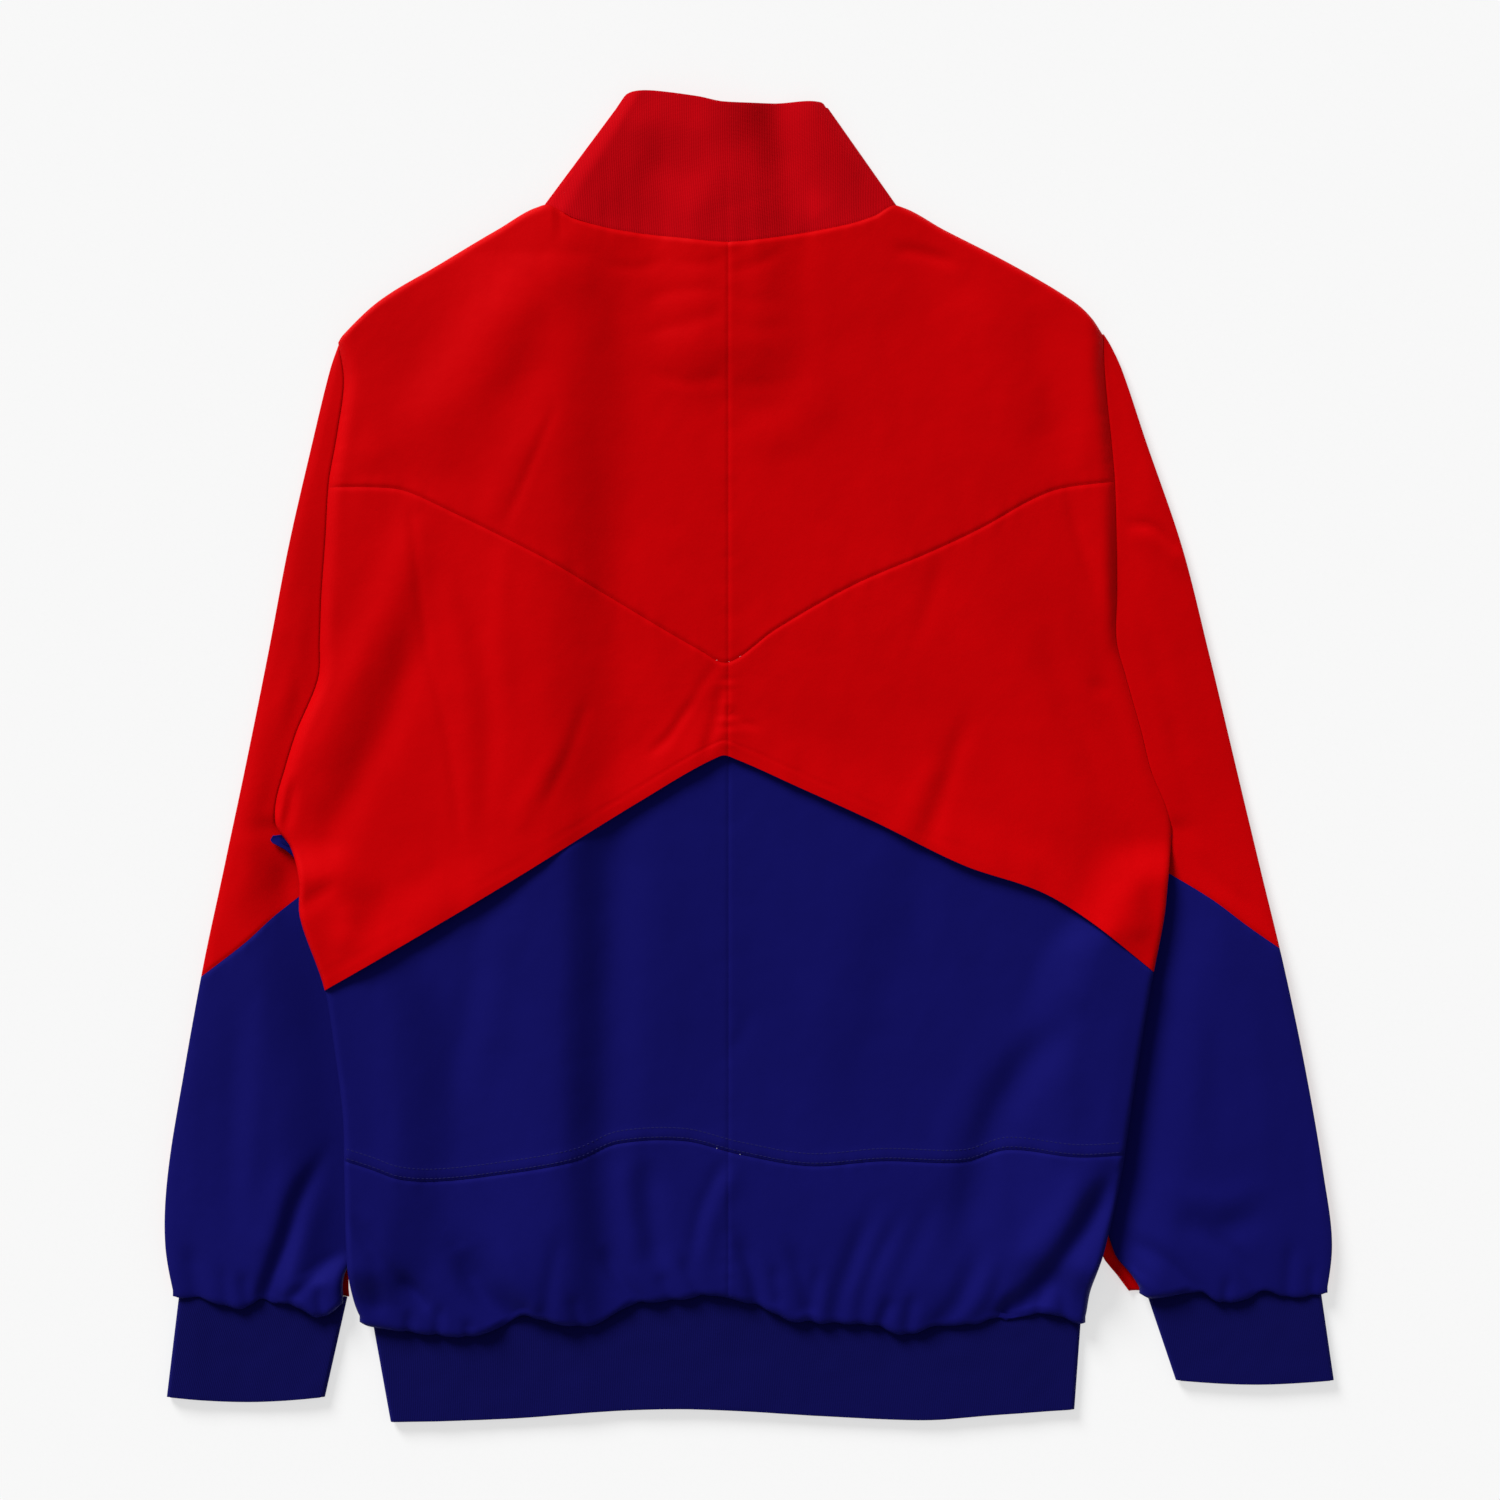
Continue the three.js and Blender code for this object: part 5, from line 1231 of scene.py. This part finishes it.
class JACKET_OT_studio(Piece):
    """Sets up the pale table, the soft light and the camera straight above"""

    bl_idname = "jacket.studio"
    bl_label = "Table, light and camera"

    def make(self, scene):
        look = scene.jacket_studio
        deselect()
        bpy.ops.mesh.primitive_grid_add(
            x_subdivisions=8, y_subdivisions=8, size=TABLE_SIZE, location=(0, 0, -TABLE_DROP)
        )
        card = bpy.context.object
        card.name = "table_card"
        bpy.ops.object.transform_apply(location=True)
        card.data.materials.append(light_table("light table", look.card, look.glow))

        world = bpy.data.worlds.new("even studio light")
        world.use_nodes = True
        world.node_tree.nodes["Background"].inputs["Color"].default_value = (1, 1, 1, 1)
        world.node_tree.nodes["Background"].inputs["Strength"].default_value = look.sky
        scene.world = world

        turn, rise = look.azimuth, look.elevation
        level = math.cos(rise)
        way = Vector((math.cos(turn) * level, math.sin(turn) * level, math.sin(rise)))
        lamp = bpy.data.lights.new("key light", "SUN")
        lamp.energy = look.key
        lamp.angle = look.softness
        key = bpy.data.objects.new("key light", lamp)
        key.location = way * 3.0
        key.rotation_euler = way.to_track_quat("Z", "Y").to_euler()
        scene.collection.objects.link(key)

        lens = bpy.data.cameras.new("camera")
        lens.sensor_width = 36.0
        lens.lens = lens.sensor_width * (look.height - MIDDLE_FACE) / look.field
        camera = bpy.data.objects.new("camera", lens)
        camera.location = (*(Vector(PICTURE_MIDDLE) + Vector(SHIFT)).xy * MM, look.height)
        scene.collection.objects.link(camera)
        scene.camera = camera
        scene.view_settings.view_transform = "Standard"


class JACKET_OT_back(Piece):
    """Makes the yoke, the loose cape, the blue body and the gathered lower back"""

    bl_idname = "jacket.back"
    bl_label = "Back panels"

    def make(self, scene):
        cell = scene.jacket_cloth.cell
        shell = scene.jacket_cloth.shell
        for side in SIDES:
            out = OUT[side]
            edge = lambda y: body_edge[side](y) - out * BUTT
            centre = lambda y: CENTRE - out * CENTRE_LAP + 0 * y
            under_cape = lambda y: 2.4 * smooth(y, -132, -119) + 6 * smooth(y, -114, -100)
            tucked = lambda y: edge(y) - out * under_cape(y)
            red = lambda x, y: red_back(side, x, y)
            blue = lambda x, y: blue_back(side, x, y)
            sides = (ARMHOLE_STEPS, SEAM_STEPS)
            make = lambda near, top, bottom, steps, height: raise_face(
                panel_grid(near, centre, top, bottom, cell, (*sides, *steps)), height
            )
            off = lambda line, by: lambda x: line(x) + by
            yoke = make(edge, yoke_top, off(yoke_seam, BUTT), (ARMHOLE_STEPS, SEAM_STEPS), red)
            cape = make(edge, off(yoke_seam, -BUTT), cape_edge, (SEAM_STEPS, ROLL_STEPS), red)
            body = make(
                tucked, off(cape_edge, CAPE_UNDERLAP), off(lower_seam, BUTT),
                (PLAIN, SEAM_STEPS), blue,
            )
            gathered = lambda x: scalloped(blouse_edge, GATHERS, x)
            lower = make(
                edge, off(lower_seam, -BUTT), off(gathered, BLOUSE_ROLL),
                (SEAM_STEPS, BLOUSED), blue,
            )
            beside = lambda x, y: out * (body_edge[side](y) - x)
            lower = blouse(lower, gathered, beside, lower_face)
            for part, points in (("yoke", yoke), ("cape", cape), ("body", body), ("lower", lower)):
                piece = thicken(cloth(f"back_{part}_{side}_cloth", points), shell, RIM_BEVEL)
                colour = "red_shell" if part in ("yoke", "cape") else "blue_shell"
                dress(piece, f"back_{part}_{side}", NYLON[colour])


class JACKET_OT_fronts(Piece):
    """Makes the hidden fronts, which lie on the table"""

    bl_idname = "jacket.fronts"
    bl_label = "Fronts"

    def make(self, scene):
        cell = scene.jacket_cloth.cell * HIDDEN_CELL
        shell = scene.jacket_cloth.shell
        for side in SIDES:
            out = OUT[side]
            reach = LEFT_PATCH["out"] if side == "left" else 0.0
            patch = lambda y: reach * bell(y - LEFT_PATCH["y"], LEFT_PATCH["long"])
            edge = lambda y: body_edge[side](y) + out * (patch(y) * (y < FRONT_SEAM_Y) - BUTT)
            to = lambda y: CENTRE + out * (ZIP_REVEAL + SEAM) + 0 * y
            seam = lambda by: lambda x: FRONT_SEAM_Y + by + 0 * x

            def face(x, y):
                beyond = np.maximum(out * (x - body_edge[side](y)), 0)
                return front_face(side, x, y) + smooth(beyond, 0, 4) * PATCH_LIFT

            steps = (ROLL_STEPS, SEAM_STEPS, SEAM_STEPS, SEAM_STEPS)
            top = lambda x: front_top(x) - FRONT_NECK_EASE
            bottom = lambda x: band_front_seam(x) + SEAM
            upper = panel_grid(edge, to, top, seam(BUTT), cell, steps)
            lower = panel_grid(edge, to, seam(-BUTT), bottom, cell, steps)
            for part, grid in (("upper", upper), ("lower", lower)):
                points = raise_face(grid, face)
                piece = thicken(cloth(f"front_{part}_{side}_cloth", points, up=False), shell)
                colour = "red_shell" if part == "upper" else "blue_shell"
                dress(piece, f"front_{part}_{side}", NYLON[colour])


class JACKET_OT_sleeves(Piece):
    """Makes both sleeves: red heads and blue lower parts over red under sleeves"""

    bl_idname = "jacket.sleeves"
    bl_label = "Sleeves"

    def make(self, scene):
        cell = scene.jacket_cloth.cell
        shell = scene.jacket_cloth.shell
        for side in SIDES:
            out = OUT[side]
            inner = lambda y: sleeve_inner(side, y) + out * 0.1
            outer = sleeve_outer[side]
            tuck = lambda y: ARMHOLE_TUCK * smooth(y, UNDERARM_Y - 60, UNDERARM_Y - 20)
            shown = lambda y: inner(y) + out * (sleeve_peek[side](y) - SEAM - tuck(y))
            top = lambda x: SHOULDER_Y[side] + 0 * x
            bottom = lambda x: scalloped(sleeve_bottom[side], SLEEVE_FOLDS, x)
            seam = lambda by: lambda x: sleeve_seam[side](x) + by

            def upper_face(x, y):
                full = sleeve_loft(side, x, y)
                start = full / 2 + 2 * SEAM
                return start + (full - start) * sleeve_rim(side, x, y, shown(y), outer(y))

            def under_face(x, y):
                start = np.minimum(sleeve_loft(side, x, y) / 2, SLEEVE_UNDER_BODY) - SEAM
                rim = sleeve_rim(side, x, y, inner(y), outer(y))
                beside = np.minimum(np.abs(x - inner(y)), np.abs(outer(y) - x))
                hollow = np.maximum(ripple(x * 0.7, y * 0.5, 24, 61) - 0.2, 0)
                return start * (1 - rim) + 0.8 * hollow * smooth(beside, 6, 18)

            steps = (ROLL_STEPS, ROLL_STEPS, SEAM_STEPS, SEAM_STEPS)
            head = raise_face(panel_grid(shown, outer, top, seam(BUTT), cell, steps), upper_face)
            low_steps = (*steps[:3], BLOUSED)
            lower_top, lower_end = seam(-BUTT), lambda x: bottom(x) + BLOUSE_ROLL
            lower = raise_face(
                panel_grid(shown, outer, lower_top, lower_end, cell, low_steps), upper_face
            )
            beside = lambda x, y: np.minimum(np.abs(x - shown(y)), np.abs(outer(y) - x))
            lower = blouse(lower, bottom, beside, lambda x, y: 0 * x)
            under_top = lambda x: top(x) - SLEEVE_TIP
            cuff_seam = lambda x: cuff_front_seam(side, x) + SEAM
            steps = (ROLL_STEPS, ROLL_STEPS, PLAIN, PLAIN)
            grid = panel_grid(inner, outer, under_top, cuff_seam, cell * HIDDEN_CELL, steps)
            under = raise_face(grid, under_face)
            for name, points, bevel in (
                ("sleeve_upper", head, RIM_BEVEL), ("sleeve_lower", lower, RIM_BEVEL),
                ("under_sleeve", under, 0.0),
            ):
                piece = cloth(f"{name}_{side}_cloth", points, up=name != "under_sleeve")
                thicken(piece, shell, bevel)
                colour = "blue_shell" if name == "sleeve_lower" else "red_shell"
                dress(piece, f"{name}_{side}", NYLON[colour])


class JACKET_OT_ribs(Piece):
    """Makes the rib-knit cuffs, hem band and collar"""

    bl_idname = "jacket.ribs"
    bl_label = "Cuffs, hem band and collar"

    def make(self, scene):
        rib = scene.jacket_cloth.rib
        none = lambda x, y: 0 * x
        for side in SIDES:
            cuff = CUFFS[side]
            seam_x = lambda a: blend(*cuff["seam"], a)
            edge_x = lambda a: blend(*cuff["edge"], a)
            free_edge = lambda a: (edge_x(a), cuff["edge_y"] + cuff["bow"] * np.sin(math.pi * a))
            points = rib_tube(
                lambda a: (seam_x(a), sleeve_bottom[side](seam_x(a)) + RIB_UNDERLAP),
                lambda a: (seam_x(a), cuff_front_seam(side, seam_x(a))),
                free_edge, free_edge, 48, 26, lambda x, y: rib_relief(x, y, 71), none, False, none,
            )
            piece = thicken(cloth(f"cuff_{side}_rib", points, ring=True, tube=True), rib, RIB_BEVEL)
            dress(piece, f"cuff_{side}", RIB["navy_rib"])

        seam_x = lambda a: blend(*HEM_CORNERS["seam"], a)
        edge_x = lambda a: blend(*HEM_CORNERS["edge"], a)
        hem_low = lambda a: (edge_x(a), hem_edge(edge_x(a)))
        points = rib_tube(
            lambda a: (seam_x(a), band_seam(seam_x(a))),
            lambda a: (seam_x(a), band_front_seam(seam_x(a))),
            hem_low, hem_low, 170, 26, lambda x, y: rib_relief(x, y, 73), lower_face, True, none,
        )
        piece = thicken(cloth("hem_band_rib", points, tube=True), rib, RIB_BEVEL)
        dress(piece, "hem_band", RIB["navy_rib"])

        neck_x = lambda a: blend(*COLLAR_CORNERS["seam"], a)
        top_x = lambda a: blend(*COLLAR_CORNERS["edge"], a)

        front_drop = lambda a: FRONT_NECK_DROP * front_neck_drop(neck_x(a))

        def rise(x, y):
            y = np.minimum(y, yoke_top(x) - 3)
            yoke = np.where(x < CENTRE, red_back("left", x, y), red_back("right", x, y))
            return yoke - lower_face(x, y) - RIB_LOFT - BELOW_YOKE

        points = rib_tube(
            lambda a: (neck_x(a), yoke_top(neck_x(a)) + 0.1),
            lambda a: (neck_x(a), front_top(neck_x(a)) + SEAM),
            lambda a: (top_x(a), collar_top(top_x(a))),
            lambda a: (top_x(a), collar_top(top_x(a)) - front_drop(a)),
            96, 34, collar_relief, lower_face, True, rise,
        )
        piece = thicken(cloth("collar_rib", points, tube=True), rib, RIB_BEVEL)
        dress(piece, "collar", RIB["red_rib"])


def rib_relief(x, y, seed):
    """The slight unevenness of a rib that lies flat."""
    return 0.5 * ripple(x, y * 0.6, 26, seed) + 0.2 * ripple(x, y, 9, seed + 1)


def collar_relief(x, y):
    """The collar stands up a little from its own front, with a hollow pressed into it."""
    plump = 4.4 * smooth(y - yoke_top(x), -4, 70)
    return plump + folds(COLLAR_FOLDS, x, y) + 0.4 * ripple(x, y, 17, 81)


def cuff_front_seam(side, x):
    """A cuff's seam on the under sleeve, straight from corner to corner."""
    left, right = CUFFS[side]["seam"]
    low, high = (sleeve_bottom[side](at) + RIB_UNDERLAP for at in (left, right))
    return blend(low, high, (x - left) / (right - left))


def scalloped(edge, table, x):
    """A bloused edge, drawn up where its deepest gathers end."""
    y = edge(x)
    for _, points, width, height, *_ in table:
        end_x, end_y = points[-1]
        ends_on_edge = np.abs(end_y - float(edge(np.array(float(end_x))))) < 12
        if height < 0 and ends_on_edge:
            y = y - 0.55 * height * bell(x - end_x, width * 0.8)
    return y


class JACKET_OT_zip(Piece):
    """Makes the zip's tapes and teeth, and finishes its slider and pull"""

    bl_idname = "jacket.zip"
    bl_label = "Zip"

    def make(self, scene):
        look = scene.jacket_zip
        tape_finish = zip_tape_weave("zip tape", look.tape)
        metal = zip_metal("dull nickel", look.metal)
        top = float(front_top(np.array(CENTRE))) + COLLAR_HEIGHT - 4
        bottom = float(hem_edge(np.array(CENTRE))) + 2
        y = np.linspace(top, bottom, 150)
        parting = teeth_parting(y)
        for side in SIDES:
            out = OUT[side]
            near = TAPE_EDGE + parting[:, None]
            x = CENTRE + out * (near + (ZIP_REVEAL - SEAM - near) * np.linspace(0, 1, 5)[None, :])
            grid_y = y[:, None] + 0 * x
            points = np.stack([x, grid_y, lower_face(x, grid_y) + TAPE_HEIGHT], 2)
            piece = thicken(cloth(f"zip_tape_{side}_cloth", points, up=False), TAPE_WALL)
            dress(piece, f"zip_tape_{side}", tape_finish)
        deselect()
        bpy.ops.mesh.primitive_cube_add(size=1)
        tooth = bpy.context.object
        tooth.scale = Vector(TOOTH) * MM
        bpy.ops.object.transform_apply(location=False, rotation=False, scale=True)
        round_off = tooth.modifiers.new("round", "BEVEL")
        round_off.width = 0.3 * MM
        round_off.segments = 1
        bpy.ops.object.modifier_apply(modifier="round")
        pitch = look.pitch / MM
        ys = np.arange(bottom + 2, ZIP_Y - 7, pitch / 2)
        spots = [(CENTRE + CLOSED_TOOTH_X * (1 if k % 2 else -1), at) for k, at in enumerate(ys)]
        ys = np.arange(ZIP_Y + 3, top - 1, pitch)
        for side in SIDES:
            for at in ys:
                away = float(teeth_parting(at)) + OPEN_TOOTH_X
                spots.append((CENTRE + OUT[side] * away, at))
        x, y = np.array(spots).T
        centres = np.column_stack([x, y, lower_face(x, y) + TOOTH_HEIGHT])
        teeth = repeated("zip_teeth", tooth, place(centres), np.zeros(len(x)))
        dress(teeth, None, tape_finish)
        for node in ("zip_slider", "zip_pull"):
            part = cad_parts[node]
            part.data.materials.clear()
            part.data.materials.append(metal)


def teeth_parting(y):
    """How far the tapes' edges go apart, each side, above the slider."""
    return TEETH_PARTING * smooth(y, ZIP_Y - 8, ZIP_Y - 1)


def repeated(name, model, centres, turns):
    """One mesh with a copy of the model at each centre, turned about the upright, and no model."""
    count = len(model.data.vertices)
    corners = np.empty(count * 3)
    model.data.vertices.foreach_get("co", corners)
    corners = corners.reshape(-1, 3)
    c, s = np.cos(turns)[:, None], np.sin(turns)[:, None]
    x, y, z = corners.T
    points = np.stack([x * c - y * s, x * s + y * c, z + 0 * c], 2) + np.asarray(centres)[:, None]
    faces = [tuple(face.vertices) for face in model.data.polygons]
    every = [tuple(v + count * k for v in face) for k in range(len(turns)) for face in faces]
    mesh = bpy.data.meshes.new(name)
    mesh.from_pydata(points.reshape(-1, 3).tolist(), [], every)
    piece = bpy.data.objects.new(name, mesh)
    bpy.context.scene.collection.objects.link(piece)
    bpy.data.objects.remove(model)
    return piece


class JACKET_OT_stitching(Piece):
    """Sews the topstitching above the lower back seam"""

    bl_idname = "jacket.stitching"
    bl_label = "Topstitching"

    def make(self, scene):
        look = scene.jacket_zip
        blue = sewing_thread("navy thread", scene.jacket_nylon.blue)
        step = look.stitch / MM
        for row, off in enumerate(STITCH_ROWS):
            spots, turns = [], []
            for side in SIDES:
                out = OUT[side]
                reach = abs(float(body_edge[side](np.array(-240.0))) - CENTRE) - 2.5
                x = CENTRE + out * np.arange(1.2, reach, step)
                y = lower_seam(x) + off
                z = blue_back(side, x, y) + STITCH_PROUD
                ahead = lower_seam(x + 0.5) - lower_seam(x - 0.5)
                spots.append(np.column_stack([x, y, z]))
                turns.append(np.arctan(ahead))
            deselect()
            bpy.ops.mesh.primitive_uv_sphere_add(segments=6, ring_count=4, radius=1)
            stitch = bpy.context.object
            stitch.rotation_euler = (0, math.pi / 2, 0)
            bpy.ops.object.transform_apply(location=False, rotation=True, scale=False)
            stitch.scale = (0.42 * look.stitch, *STITCH_SECTION)
            bpy.ops.object.transform_apply(location=False, rotation=False, scale=True)
            bpy.ops.object.shade_smooth()
            centres = place(np.concatenate(spots))
            name = f"lower_seam_stitches_{row + 1}"
            thread = repeated(name, stitch, centres, np.concatenate(turns))
            dress(thread, None, blue)


class JACKET_PT_sidebar(bpy.types.Panel):
    """Lists the jacket's pieces and their sizes"""

    bl_label = "Windbreaker jacket"
    bl_idname = "JACKET_PT_sidebar"
    bl_space_type = "VIEW_3D"
    bl_region_type = "UI"
    bl_category = "Jacket"

    def draw(self, context):
        for operator in OPERATORS:
            self.layout.operator(operator.bl_idname)
        for name, group in GROUPS.items():
            box = self.layout.box()
            for prop in group.__annotations__:
                box.prop(getattr(context.scene, name), prop)


GROUPS = {
    "jacket_cloth": JacketCloth,
    "jacket_nylon": JacketNylon,
    "jacket_rib": JacketRib,
    "jacket_zip": JacketZip,
    "jacket_studio": JacketStudio,
}
OPERATORS = (
    JACKET_OT_studio,
    JACKET_OT_back,
    JACKET_OT_fronts,
    JACKET_OT_sleeves,
    JACKET_OT_ribs,
    JACKET_OT_zip,
    JACKET_OT_stitching,
)


def register():
    for kind in (*GROUPS.values(), *OPERATORS, JACKET_PT_sidebar):
        bpy.utils.register_class(kind)
    for name, group in GROUPS.items():
        setattr(bpy.types.Scene, name, PointerProperty(type=group))


def unregister():
    for name in GROUPS:
        delattr(bpy.types.Scene, name)
    for kind in reversed((*GROUPS.values(), *OPERATORS, JACKET_PT_sidebar)):
        bpy.utils.unregister_class(kind)


NYLON, RIB = {}, {}


def main():
    register()
    scene = bpy.context.scene
    nylon, rib = scene.jacket_nylon, scene.jacket_rib
    NYLON["red_shell"] = woven_nylon("red nylon", nylon.red, nylon)
    NYLON["blue_shell"] = woven_nylon("blue nylon", nylon.blue, nylon)
    RIB["red_rib"] = rib_knit("red rib knit", rib.red, rib)
    RIB["navy_rib"] = rib_knit("navy rib knit", rib.navy, rib)
    bpy.ops.jacket.studio()
    bpy.ops.jacket.back()
    bpy.ops.jacket.fronts()
    bpy.ops.jacket.sleeves()
    bpy.ops.jacket.ribs()
    bpy.ops.jacket.zip()
    bpy.ops.jacket.stitching()


if __name__ == "__main__":
    main()
